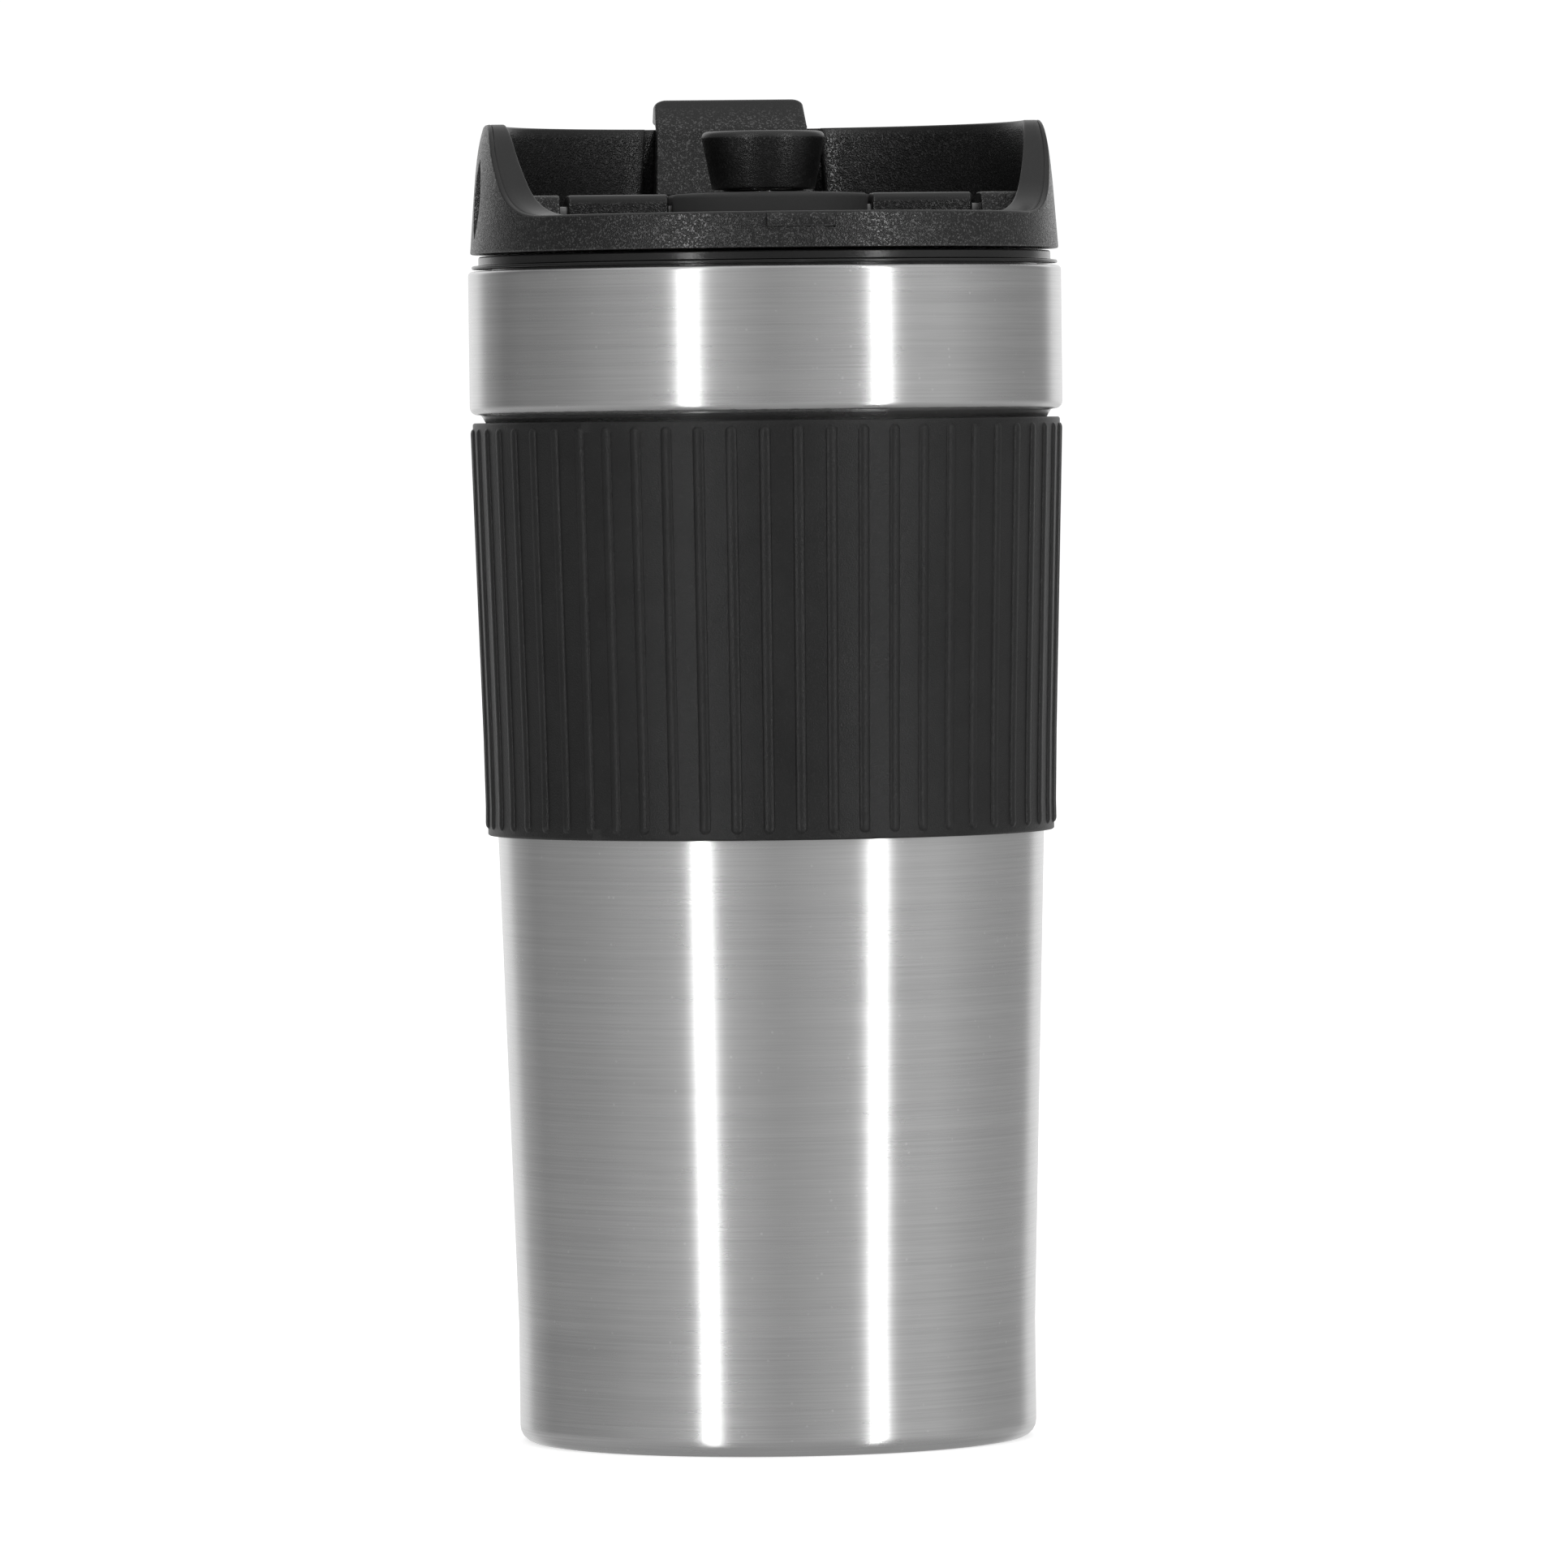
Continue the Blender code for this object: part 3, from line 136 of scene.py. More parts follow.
def rounded(corners: list[tuple[float, float, float]], closed: bool = True, steps: int = 5) -> np.ndarray:
    """Polygon whose corners are replaced by tangent arcs, with a support point beside each arc.

    A corner of radius r between unit directions a and b is the quadratic curve through its two
    tangent points, r tan(turn / 2) before and after it, pulled towards the corner.

    Args:
        corners: Position and corner radius of each corner, in millimetres.
        closed: Whether the last corner is joined to the first.
        steps: Intervals on each rounded corner.

    Returns:
        One row for each point, in metres.
    """
    data = np.array(corners, float) * MM
    out = []
    for index, (x, y, radius) in enumerate(data):
        here = np.array([x, y])
        ends = index in (0, len(data) - 1)
        if radius <= 0.0 or (ends and not closed):
            out.append(here[None])
            continue
        before = data[index - 1][:2] - here
        after = data[(index + 1) % len(data)][:2] - here
        a, b = before / np.linalg.norm(before), after / np.linalg.norm(after)
        half = math.acos(float(np.clip(a @ b, -1.0, 1.0))) / 2
        reach = radius / math.tan(half)
        centre = here + (a + b) / np.linalg.norm(a + b) * radius / math.sin(half)
        first, last = here + a * reach - centre, here + b * reach - centre
        share = np.linspace(0.0, 1.0, steps + 1)[:, None]
        sweep = math.pi - 2 * half
        curve = (np.sin((1 - share) * sweep) * first + np.sin(share * sweep) * last) / math.sin(sweep)
        support = min(reach * 0.6, 0.3 * MM)
        out += [(here + a * (reach + support))[None], centre + curve, (here + b * (reach + support))[None]]
    return np.concatenate(out)


def turned(profile: np.ndarray, steps: int = 192, wrap: bool = True) -> Surface:
    """Turn a section around the mug's axis: (r sin a, -r cos a, z) for each angle a.

    Args:
        profile: Radius and height of each point, anticlockwise, so that the outside runs upwards.
        steps: Columns around the axis.
        wrap: Whether the section is closed. An open one starts and ends on the axis.

    Returns:
        The surface, with one point at each pole.
    """
    angle = np.linspace(0.0, 2 * math.pi, steps, endpoint=False)[:, None]
    radius, height = profile[:, 0], profile[:, 1]
    points = np.stack([radius * np.sin(angle), -radius * np.cos(angle), height + 0.0 * angle], axis=2)
    if wrap:
        return grid(points, wrap_v=True)
    body = grid(points[:, 1:-1])
    rows = len(profile) - 2
    count = len(body.points)
    column = np.arange(steps)
    following = (column + 1) % steps
    low = np.stack([np.full(steps, count), following * rows, column * rows], axis=1)
    high = np.stack([np.full(steps, count + 1), column * rows + rows - 1, following * rows + rows - 1], axis=1)
    poles = np.array([[0.0, 0.0, height[0]], [0.0, 0.0, height[-1]]])
    return Surface(np.concatenate([body.points, poles]), body.quads, np.concatenate([low, high]))


def inset(outline: np.ndarray, distance: np.ndarray) -> np.ndarray:
    """Move an outline inwards by a distance measured square to its sides.

    Args:
        outline: Points in order, with the solid on the left of the direction of travel.
        distance: One distance for each ring that is wanted.

    Returns:
        Positions, indexed by outline point, ring and axis.
    """
    ahead = np.roll(outline, -1, axis=0) - outline
    ahead /= np.linalg.norm(ahead, axis=1)[:, None]
    normal = np.stack([ahead[:, 1], -ahead[:, 0]], axis=1)
    miter = normal + np.roll(normal, 1, axis=0)
    miter /= np.maximum(np.sum(miter * normal, axis=1), 0.2)[:, None]
    return outline[:, None, :] - miter[:, None, :] * distance[None, :, None]


def slab(
    outlines: list[np.ndarray],
    low: float,
    high: float,
    low_round: float,
    high_round: float,
    middle: int = 1,
    steps: int = 5,
) -> Surface:
    """Flat-faced solid with rounded edges and any number of holes.

    Every outline is carried up through rings. On a rounded edge of radius r the ring at angle t is
    set in by r (1 - cos t) and lies r (1 - sin t) from the flat face. The two flat faces are
    filled with triangles between the outlines.

    Args:
        outlines: The outer outline anticlockwise, then each hole clockwise, in metres.
        low: Height of the lower face.
        high: Height of the upper face.
        low_round: Radius of the lower edges.
        high_round: Radius of the upper edges.
        middle: Intervals on the straight part of the wall.
        steps: Intervals on each rounded edge.

    Returns:
        The surface.
    """
    turn_angle = np.linspace(0.0, math.pi / 2, steps + 1)
    span = np.linspace(low + low_round, high - high_round, middle + 1)[1:-1]
    away = np.concatenate(
        [low_round * (1 - np.sin(turn_angle)), 0.0 * span, high_round * (1 - np.cos(turn_angle))]
    )
    height = np.concatenate(
        [
            low + low_round * (1 - np.cos(turn_angle)),
            span,
            high - high_round * (1 - np.sin(turn_angle)),
        ]
    )
    walls, caps, crisp, rings, start = [], [], [], [], 0
    for outline in outlines:
        flat = inset(outline, away)
        points = np.concatenate([flat, np.broadcast_to(height[None, :, None], (*flat.shape[:2], 1))], axis=2)
        walls.append(grid(points))
        rows = len(height)
        order = start + np.arange(len(outline)) * rows
        rings.append((order, order + rows - 1, flat[:, 0], flat[:, -1]))
        for ring in (order, order + rows - 1):
            crisp.append(np.stack([ring, np.roll(ring, -1)], axis=1))
        start += points.shape[0] * rows
    for numbers, flats, sign in (
        ([ring[0] for ring in rings], [ring[2] for ring in rings], -1.0),
        ([ring[1] for ring in rings], [ring[3] for ring in rings], 1.0),
    ):
        loops = [[Vector((x, y, 0.0)) for x, y in flat.tolist()] for flat in flats]
        faces = np.array(tessellate_polygon(loops), int)
        flat = np.concatenate(flats)
        a, b, c = (flat[faces[:, k]] for k in range(3))
        area = (b - a)[:, 0] * (c - a)[:, 1] - (b - a)[:, 1] * (c - a)[:, 0]
        faces[area * sign < 0] = faces[area * sign < 0][:, ::-1]
        caps.append(np.concatenate(numbers)[faces[np.abs(area) > 1e-16]])
    wall = walls[0].joined(*walls[1:])
    return Surface(wall.points, wall.quads, np.concatenate(caps), np.concatenate(crisp))


def across(surface: Surface) -> Surface:
    """Turn a slab drawn in (y, z) and carried along x into place: (a, b, c) becomes (c, a, b)."""
    surface.points = surface.points[:, [2, 0, 1]]
    return surface


def circle(radius: float, steps: int, clockwise: bool = False, centre: tuple[float, float] = (0.0, 0.0)) -> np.ndarray:
    """Points around a circle, anticlockwise unless it is a hole."""
    ring = arc(centre, radius, 0.0, 360.0, steps)[:-1]
    return ring[::-1] if clockwise else ring


def smooth_step(share: np.ndarray) -> np.ndarray:
    """Ease from 0 to 1: 3 s^2 - 2 s^3 with s held between 0 and 1."""
    held = np.clip(share, 0.0, 1.0)
    return held * held * (3.0 - 2.0 * held)


CRISP_ANGLE = math.radians(38.0)


def place(name: str, surface: Surface, material: bpy.types.Material, body: str, nodes: list[str]) -> None:
    """Make a piece from a surface and tell the frame what it rides on and stands for.

    Args:
        name: The piece's name.
        surface: Its points and faces.
        material: Its finish.
        body: The body that it moves with.
        nodes: The nodes that it stands for.
    """
    mesh = bpy.data.meshes.new(name)
    total = np.concatenate([np.full(len(surface.quads), 4), np.full(len(surface.triangles), 3)])
    loops = np.concatenate([surface.quads.ravel(), surface.triangles.ravel()])
    mesh.vertices.add(len(surface.points))
    mesh.vertices.foreach_set("co", surface.points.astype(np.float32).ravel())
    mesh.loops.add(len(loops))
    mesh.loops.foreach_set("vertex_index", loops.astype(np.int32))
    mesh.polygons.add(len(total))
    mesh.polygons.foreach_set("loop_start", (np.cumsum(total) - total).astype(np.int32))
    mesh.polygons.foreach_set("use_smooth", np.ones(len(total), bool))
    mesh.update(calc_edges=True)
    polish = mesh.attributes.new("polish", "FLOAT", "POINT")
    polish.data.foreach_set("value", surface.polished().astype(np.float32))
    mesh.set_sharp_from_angle(angle=CRISP_ANGLE)
    if len(surface.crisp):
        count = len(surface.points)
        pairs = np.zeros(len(mesh.edges) * 2, np.int32)
        mesh.edges.foreach_get("vertices", pairs)
        found = np.sort(pairs.reshape(-1, 2), axis=1).astype(np.int64)
        wanted = np.sort(surface.crisp, axis=1).astype(np.int64)
        sharp = np.zeros(len(mesh.edges), bool)
        mesh.edges.foreach_get("use_edge_sharp", sharp)
        sharp |= np.isin(found[:, 0] * count + found[:, 1], wanted[:, 0] * count + wanted[:, 1])
        mesh.edges.foreach_set("use_edge_sharp", sharp)
    mesh.materials.append(material)
    piece = bpy.data.objects.new(name, mesh)
    bpy.context.scene.collection.objects.link(piece)
    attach(piece, body)
    if nodes:
        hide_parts(*nodes)
    LOG.info("%s: %d points, %d faces, rides on %s", name, len(surface.points), len(total), body)


# ---- Effects that several finishes share ---------------------------------------------------


class Graph:
    """A node tree that is written one node at a time."""

    def __init__(self, tree: bpy.types.NodeTree) -> None:
        """Start on a tree."""
        self.tree = tree

    def node(self, kind: str, settings: dict | None = None, **inputs: object) -> bpy.types.Node:
        """Add a node and fill its inputs.

        Args:
            kind: Blender's name for the node, without its common beginning.
            settings: Properties of the node.
            inputs: Value or output socket for each input, by name with _ for a space, or by i0, i1.

        Returns:
            The node.
        """
        made = self.tree.nodes.new(f"ShaderNode{kind}")
        for key, value in (settings or {}).items():
            setattr(made, key, value)
        for key, value in inputs.items():
            index = int(key[1:]) if key[0] == "i" and key[1:].isdigit() else key.replace("_", " ")
            if isinstance(value, bpy.types.NodeSocket):
                self.tree.links.new(value, made.inputs[index])
            else:
                made.inputs[index].default_value = value
        return made

    def math(self, operation: str, *values: object) -> bpy.types.NodeSocket:
        """Add a Math node and return its result."""
        inputs = {f"i{index}": value for index, value in enumerate(values)}
        return self.node("Math", {"operation": operation}, **inputs).outputs[0]

    def ramp(
        self, value: bpy.types.NodeSocket, low: float, high: float, start: float = 0.0, end: float = 1.0
    ) -> bpy.types.NodeSocket:
        """Map a value smoothly from low..high to start..end."""
        settings = {"interpolation_type": "SMOOTHSTEP"}
        return self.node("MapRange", settings, i0=value, i1=low, i2=high, i3=start, i4=end).outputs[0]

    def mix(self, factor: object, a: object, b: object) -> bpy.types.NodeSocket:
        """Mix two colours and return the result."""
        made = self.node("Mix", {"data_type": "RGBA"})
        for index, value in ((0, factor), (6, a), (7, b)):
            if isinstance(value, bpy.types.NodeSocket):
                self.tree.links.new(value, made.inputs[index])
            else:
                made.inputs[index].default_value = value
        return made.outputs[2]

    def object_position(self) -> bpy.types.NodeSocket:
        """Return the position on the object, in metres."""
        return self.node("TexCoord").outputs["Object"]


def new_effect(
    name: str, inputs: dict[str, float], outputs: list[str]
) -> tuple[Graph, dict[str, bpy.types.NodeSocket], bpy.types.Node]:
    """Start a shader node group with number inputs and outputs.

    Args:
        name: The group's name.
        inputs: Name and default of each input.
        outputs: Names of the outputs.

    Returns:
        The group's graph, its input sockets by name and its output node.
    """
    tree = bpy.data.node_groups.new(name, "ShaderNodeTree")
    for key, value in inputs.items():
        tree.interface.new_socket(key, in_out="INPUT", socket_type="NodeSocketFloat").default_value = value
    for key in outputs:
        tree.interface.new_socket(key, in_out="OUTPUT", socket_type="NodeSocketFloat")
    graph = Graph(tree)
    entry = tree.nodes.new("NodeGroupInput")
    return graph, {key: entry.outputs[key] for key in inputs}, tree.nodes.new("NodeGroupOutput")


class Effect(Enum):
    """The shared effects, by the name of their node group."""

    BRUSHING = "brushing"
    SPARK_GRAIN = "spark_grain"
    HANDLING = "handling"
    EDGE_WEAR = "edge_wear"


def build_brushing() -> None:
    """Lines around the mug: noise stretched far along x and y and packed tightly along z."""
    graph, given, out = new_effect("brushing", {"Lines": 4200.0, "Length": 26.0}, ["Streaks", "Fine", "Specks"])
    position = graph.object_position()
    scale = graph.node("CombineXYZ", X=given["Length"], Y=given["Length"], Z=given["Lines"]).outputs[0]
    stretched = graph.node("VectorMath", {"operation": "MULTIPLY"}, i0=position, i1=scale).outputs[0]
    fine = graph.node("TexNoise", Vector=stretched, Scale=1.0, Detail=3.0, Roughness=0.65).outputs[0]
    wide_scale = graph.node("VectorMath", {"operation": "MULTIPLY"}, i0=stretched, i1=(0.6, 0.6, 0.16)).outputs[0]
    wide = graph.node("TexNoise", Vector=wide_scale, Scale=1.0, Detail=2.0, Roughness=0.5).outputs[0]
    short_scale = graph.node("VectorMath", {"operation": "MULTIPLY"}, i0=stretched, i1=(9.0, 9.0, 0.8)).outputs[0]
    short = graph.node("TexNoise", Vector=short_scale, Scale=1.0, Detail=1.0, Roughness=0.5).outputs[0]
    speck = graph.node("TexVoronoi", Vector=position, Scale=900.0, Randomness=1.0).outputs["Distance"]
    rare = graph.node("TexNoise", Vector=position, Scale=420.0, Detail=1.0).outputs[0]
    both = graph.math("ADD", graph.math("MULTIPLY", fine, 0.85), graph.math("MULTIPLY", short, 0.15))
    graph.tree.links.new(both, out.inputs["Fine"])
    graph.tree.links.new(wide, out.inputs["Streaks"])
    dots = graph.math("MULTIPLY", graph.ramp(speck, 0.22, 0.08), graph.ramp(rare, 0.58, 0.7))
    graph.tree.links.new(dots, out.inputs["Specks"])


def build_spark_grain() -> None:
    """Grain of a spark-eroded mould: packed small facets, with a mask of a bright few that the finishes make glossier
    and paint lighter as painted glints.
    """
    graph, given, out = new_effect("spark_grain", {"Grains": 2400.0, "Waver": 0.25}, ["Height", "Sparkle", "Tone"])
    position = graph.object_position()
    warp = graph.node("TexNoise", {"normalize": True}, Vector=position, Scale=1500.0, Detail=1.0).outputs["Color"]
    shift = graph.node("VectorMath", {"operation": "SCALE"}, i0=warp, Scale=0.0004).outputs[0]
    moved = graph.node("VectorMath", {"operation": "ADD"}, i0=position, i1=shift).outputs[0]
    cells = graph.node("TexVoronoi", {"feature": "SMOOTH_F1"}, Vector=moved, Scale=given["Grains"], Smoothness=0.4)
    noise = graph.node("TexNoise", Vector=position, Scale=given["Grains"], Detail=2.0, Roughness=0.6).outputs[0]
    blend = graph.math("MULTIPLY", noise, given["Waver"])
    graph.tree.links.new(graph.math("ADD", cells.outputs["Distance"], blend), out.inputs["Height"])
    tint = graph.node("SeparateColor", i0=cells.outputs["Color"]).outputs[0]
    graph.tree.links.new(graph.ramp(tint, 0.6, 1.0), out.inputs["Sparkle"])
    tone = graph.node("TexNoise", Vector=position, Scale=160.0, Detail=3.0, Roughness=0.6).outputs[0]
    graph.tree.links.new(tone, out.inputs["Tone"])


def build_handling() -> None:
    """Soft smudges and a little settled dust, more of it where the surface faces up."""
    graph, given, out = new_effect("handling", {"Size": 55.0, "Dust": 0.5}, ["Smudge", "Dust"])
    position = graph.object_position()
    cloud = graph.node("TexNoise", Vector=position, Scale=given["Size"], Detail=4.0, Roughness=0.6).outputs[0]
    graph.tree.links.new(graph.ramp(cloud, 0.35, 0.7), out.inputs["Smudge"])
    speck = graph.node("TexNoise", Vector=position, Scale=2600.0, Detail=1.0, Roughness=0.5).outputs[0]
    upward = graph.node("SeparateXYZ", i0=graph.node("NewGeometry").outputs["Normal"]).outputs["Z"]
    settled = graph.math("MULTIPLY", graph.ramp(speck, 0.6, 0.74), graph.ramp(upward, -0.2, 0.9, 0.25, 1.0))
    graph.tree.links.new(graph.math("MULTIPLY", settled, given["Dust"]), out.inputs["Dust"])


def build_edge_wear() -> None:
    """Mask of the edges that hands and benches rub: sharp convex places, broken up by noise. In the moulded plastic it
    also serves as painted highlights on the edges.
    """
    graph, given, out = new_effect("edge_wear", {"Reach": 0.06, "Break": 0.5}, ["Edge"])
    sharpness = graph.node("NewGeometry").outputs["Pointiness"]
    noise = graph.node("TexNoise", Vector=graph.object_position(), Scale=700.0, Detail=3.0).outputs[0]
    high = graph.math("ADD", 0.5, given["Reach"])
    edge = graph.node("MapRange", i0=sharpness, i1=0.51, i2=high, i3=0.0, i4=1.0).outputs[0]
    broken = graph.math("SUBTRACT", 1.0, graph.math("MULTIPLY", given["Break"], noise))
    graph.tree.links.new(graph.math("MULTIPLY", edge, broken), out.inputs["Edge"])


# ---- Finishes -----------------------------------------------------------------------------

Colour = tuple[float, float, float, float]


def grey(value: float, warmth: float = 0.0) -> Colour:
    """Return a grey, a little warm or cool."""
    return (value * (1 + warmth), value, value * (1 - warmth), 1.0)


def new_material(name: str) -> tuple[bpy.types.Material, Graph, bpy.types.Node]:
    """Start a material.

    Args:
        name: Its name.

    Returns:
        The material, its graph and its Principled shader.
    """
    material = bpy.data.materials.new(name)
    material.use_nodes = True
    graph = Graph(material.node_tree)
    return material, graph, material.node_tree.nodes["Principled BSDF"]


def effect(graph: Graph, kind: Effect, **values: float) -> bpy.types.Node:
    """Place a shared effect in a material.

    Args:
        graph: The material's graph.
        kind: Which effect.
        values: The material's own values for the effect's inputs.

    Returns:
        The group node.
    """
    node = graph.tree.nodes.new("ShaderNodeGroup")
    node.node_tree = bpy.data.node_groups[kind.value]
    for key, value in values.items():
        node.inputs[key].default_value = value
    return node


@dataclass(frozen=True)
class BrushedSteel:
    """Steel brushed around the axis.

    Attributes:
        tone: Reflectance.
        roughness: Mean roughness.
        anisotropy: How far the gloss is drawn out across the lines.
        lines: Lines for each metre of height.
        contrast: Share by which the lines change the tone.
        bump: Depth of the lines.
    """

    tone: float = 0.58
    roughness: float = 0.27
    anisotropy: float = 0.8
    lines: float = 4200.0
    contrast: float = 0.07
    bump: float = 0.000004

    def material(self, name: str) -> bpy.types.Material:
        """Build the material."""
        made, graph, shader = new_material(name)
        brush = effect(graph, Effect.BRUSHING, Lines=self.lines)
        hands = effect(graph, Effect.HANDLING, Size=38.0, Dust=0.3)
        wear = effect(graph, Effect.EDGE_WEAR, Reach=0.08, Break=0.4)
        dark, light = self.tone * (1 - self.contrast), self.tone * (1 + self.contrast)
        lines = graph.mix(graph.ramp(brush.outputs["Fine"], 0.3, 0.7), grey(dark), grey(light))
        wide = graph.mix(graph.ramp(brush.outputs["Streaks"], 0.3, 0.7), grey(0.965), grey(1.0))
        toned = graph.node("Mix", {"data_type": "RGBA", "blend_type": "MULTIPLY"})
        toned.inputs[0].default_value = 1.0
        graph.tree.links.new(lines, toned.inputs[6])
        graph.tree.links.new(wide, toned.inputs[7])
        specked = graph.mix(graph.math("MULTIPLY", brush.outputs["Specks"], 0.35), toned.outputs[2], grey(0.9))
        worn = graph.mix(graph.math("MULTIPLY", wear.outputs["Edge"], 0.35), specked, grey(0.78))
        graph.tree.links.new(worn, shader.inputs["Base Color"])
        rough = graph.math("MULTIPLY_ADD", brush.outputs["Streaks"], 0.03, self.roughness - 0.015)
        rough = graph.math("MULTIPLY_ADD", hands.outputs["Smudge"], 0.015, rough)
        graph.tree.links.new(rough, shader.inputs["Roughness"])
        shader.inputs["Metallic"].default_value = 1.0
        shader.inputs["Anisotropic"].default_value = self.anisotropy
        shader.inputs["Anisotropic Rotation"].default_value = 0.25
        tangent = graph.node("Tangent", {"direction_type": "RADIAL", "axis": "Z"}).outputs[0]
        graph.tree.links.new(tangent, shader.inputs["Tangent"])
        bump = graph.node("Bump", Strength=0.5, Distance=self.bump, Height=brush.outputs["Fine"]).outputs[0]
        graph.tree.links.new(bump, shader.inputs["Normal"])
        return made


@dataclass(frozen=True)
class MouldedPlastic:
    """Black plastic from a spark-eroded mould, smooth where the mould was polished.

    Attributes:
        tone: Colour of the textured part.
        smooth_tone: Colour of the polished part; where it is set lighter than tone, it is a painted highlight on the
            polished tops and edges.
        grains: Grains for each metre.
        bump: Depth of the grain.
        roughness: Roughness of the textured part.
        smooth_roughness: Roughness of the polished part.
        sparkle: How strongly the brightest grains get extra coat gloss and a painted glint, a lighter colour.
        specular: Strength of the gloss.
    """

    tone: float = 0.003
    smooth_tone: float = 0.01
    grains: float = 5400.0
    bump: float = 0.00006
    roughness: float = 0.29
    smooth_roughness: float = 0.34
    sparkle: float = 0.6
    specular: float = 0.46

    def material(self, name: str) -> bpy.types.Material:
        """Build the material."""
        made, graph, shader = new_material(name)
        shader.inputs["Specular IOR Level"].default_value = self.specular
        polish = graph.node("Attribute", {"attribute_name": "polish"}).outputs["Fac"]
        grain = effect(graph, Effect.SPARK_GRAIN, Grains=self.grains)
        hands = effect(graph, Effect.HANDLING, Size=60.0, Dust=0.5)
        wear = effect(graph, Effect.EDGE_WEAR, Reach=0.07, Break=0.5)
        textured = graph.mix(graph.ramp(grain.outputs["Tone"], 0.3, 0.7), grey(self.tone * 0.8), grey(self.tone * 1.2))
        share = graph.math("MULTIPLY", grain.outputs["Sparkle"], self.sparkle)
        # Painted glints: the brightest grains are painted lighter, towards grey 0.2.
        lit = graph.mix(graph.math("MULTIPLY", share, 0.12), textured, grey(0.2))
        shader.inputs["Coat IOR"].default_value = 2.2
        shader.inputs["Coat Roughness"].default_value = 0.27
        glint = graph.math("MULTIPLY", share, graph.math("SUBTRACT", 1.0, polish))
        graph.tree.links.new(glint, shader.inputs["Coat Weight"])
        # Polished zones lie on tops and top edges; their lighter smooth_tone is partly a painted highlight for the
        # light those tops catch.
        base = graph.mix(polish, lit, grey(self.smooth_tone))
        # Convex edges are painted lighter: partly rubbed wear, partly a painted highlight along the edges.
        edges_lightened = graph.mix(graph.math("MULTIPLY", wear.outputs["Edge"], 0.4), base, grey(0.06))
        dusty = graph.mix(graph.math("MULTIPLY", hands.outputs["Dust"], 0.02), edges_lightened, grey(0.3))
        graph.tree.links.new(dusty, shader.inputs["Base Color"])
        rough = graph.node("Mix", {"data_type": "FLOAT"}, i0=polish, i2=self.roughness, i3=self.smooth_roughness)
        rough = graph.math("MULTIPLY_ADD", hands.outputs["Smudge"], 0.06, rough.outputs[0])
        graph.tree.links.new(rough, shader.inputs["Roughness"])
        depth = graph.math("MULTIPLY", grain.outputs["Height"], graph.math("MULTIPLY_ADD", polish, -0.94, 1.0))
        bump = graph.node("Bump", Strength=0.8, Distance=self.bump, Height=depth).outputs[0]
        graph.tree.links.new(bump, shader.inputs["Normal"])
        return made


@dataclass(frozen=True)
class SoftRubber:
    """Matt rubber or silicone with a fine even grain and a faint bloom.

    Attributes:
        tone: Colour.
        bloom: Colour of the pale bloom.
        roughness: Mean roughness.
        bump: Depth of the grain.
    """

    tone: float = 0.005
    bloom: float = 0.011
    roughness: float = 0.42
    bump: float = 0.00005

    def material(self, name: str) -> bpy.types.Material:
        """Build the material."""
        made, graph, shader = new_material(name)
        grain = effect(graph, Effect.SPARK_GRAIN, Grains=5200.0, Waver=0.6)
        hands = effect(graph, Effect.HANDLING, Size=70.0, Dust=0.8)
        wear = effect(graph, Effect.EDGE_WEAR, Reach=0.06, Break=0.35)
        mottled = graph.mix(graph.ramp(grain.outputs["Tone"], 0.3, 0.7), grey(self.tone * 0.7), grey(self.tone * 1.3))
        bloomed = graph.mix(graph.math("MULTIPLY", hands.outputs["Smudge"], 0.25), mottled, grey(self.bloom))
        edges_lightened = graph.mix(graph.math("MULTIPLY", wear.outputs["Edge"], 0.45), bloomed, grey(self.bloom * 2.2))
        dusty = graph.mix(graph.math("MULTIPLY", hands.outputs["Dust"], 0.05), edges_lightened, grey(0.3))
        graph.tree.links.new(dusty, shader.inputs["Base Color"])
        shader.inputs["Specular IOR Level"].default_value = 0.4
        rough = graph.math("MULTIPLY_ADD", grain.outputs["Tone"], 0.1, self.roughness - 0.05)
        graph.tree.links.new(rough, shader.inputs["Roughness"])
        bump = graph.node("Bump", Strength=0.6, Distance=self.bump, Height=grain.outputs["Height"]).outputs[0]
        graph.tree.links.new(bump, shader.inputs["Normal"])
        return made


@dataclass(frozen=True)
class WovenMesh:
    """Fine steel wire cloth of the press filter.

    Attributes:
        tone: Colour of the wires.
        wires: Wires for each metre.
        bump: Height of the weave.
    """

    tone: float = 0.55
    wires: float = 9000.0
    bump: float = 0.00006

    def material(self, name: str) -> bpy.types.Material:
        """Build the material."""
        made, graph, shader = new_material(name)
        brush = effect(graph, Effect.BRUSHING, Lines=900.0)
        position = graph.object_position()
        across_x = graph.node("TexWave", {"bands_direction": "X"}, Vector=position, Scale=self.wires / 20).outputs[1]
        across_y = graph.node("TexWave", {"bands_direction": "Y"}, Vector=position, Scale=self.wires / 20).outputs[1]
        weave = graph.math("MAXIMUM", across_x, across_y)
        colour = graph.mix(graph.ramp(weave, 0.2, 0.8), grey(0.08), grey(self.tone))
        graph.tree.links.new(colour, shader.inputs["Base Color"])
        rough = graph.math("MULTIPLY_ADD", brush.outputs["Fine"], 0.2, 0.28)
        graph.tree.links.new(rough, shader.inputs["Roughness"])
        shader.inputs["Metallic"].default_value = 1.0
        bump = graph.node("Bump", Strength=0.7, Distance=self.bump, Height=weave).outputs[0]
        graph.tree.links.new(bump, shader.inputs["Normal"])
        return made


# ---- Sub-assemblies -------------------------------------------------------------------------


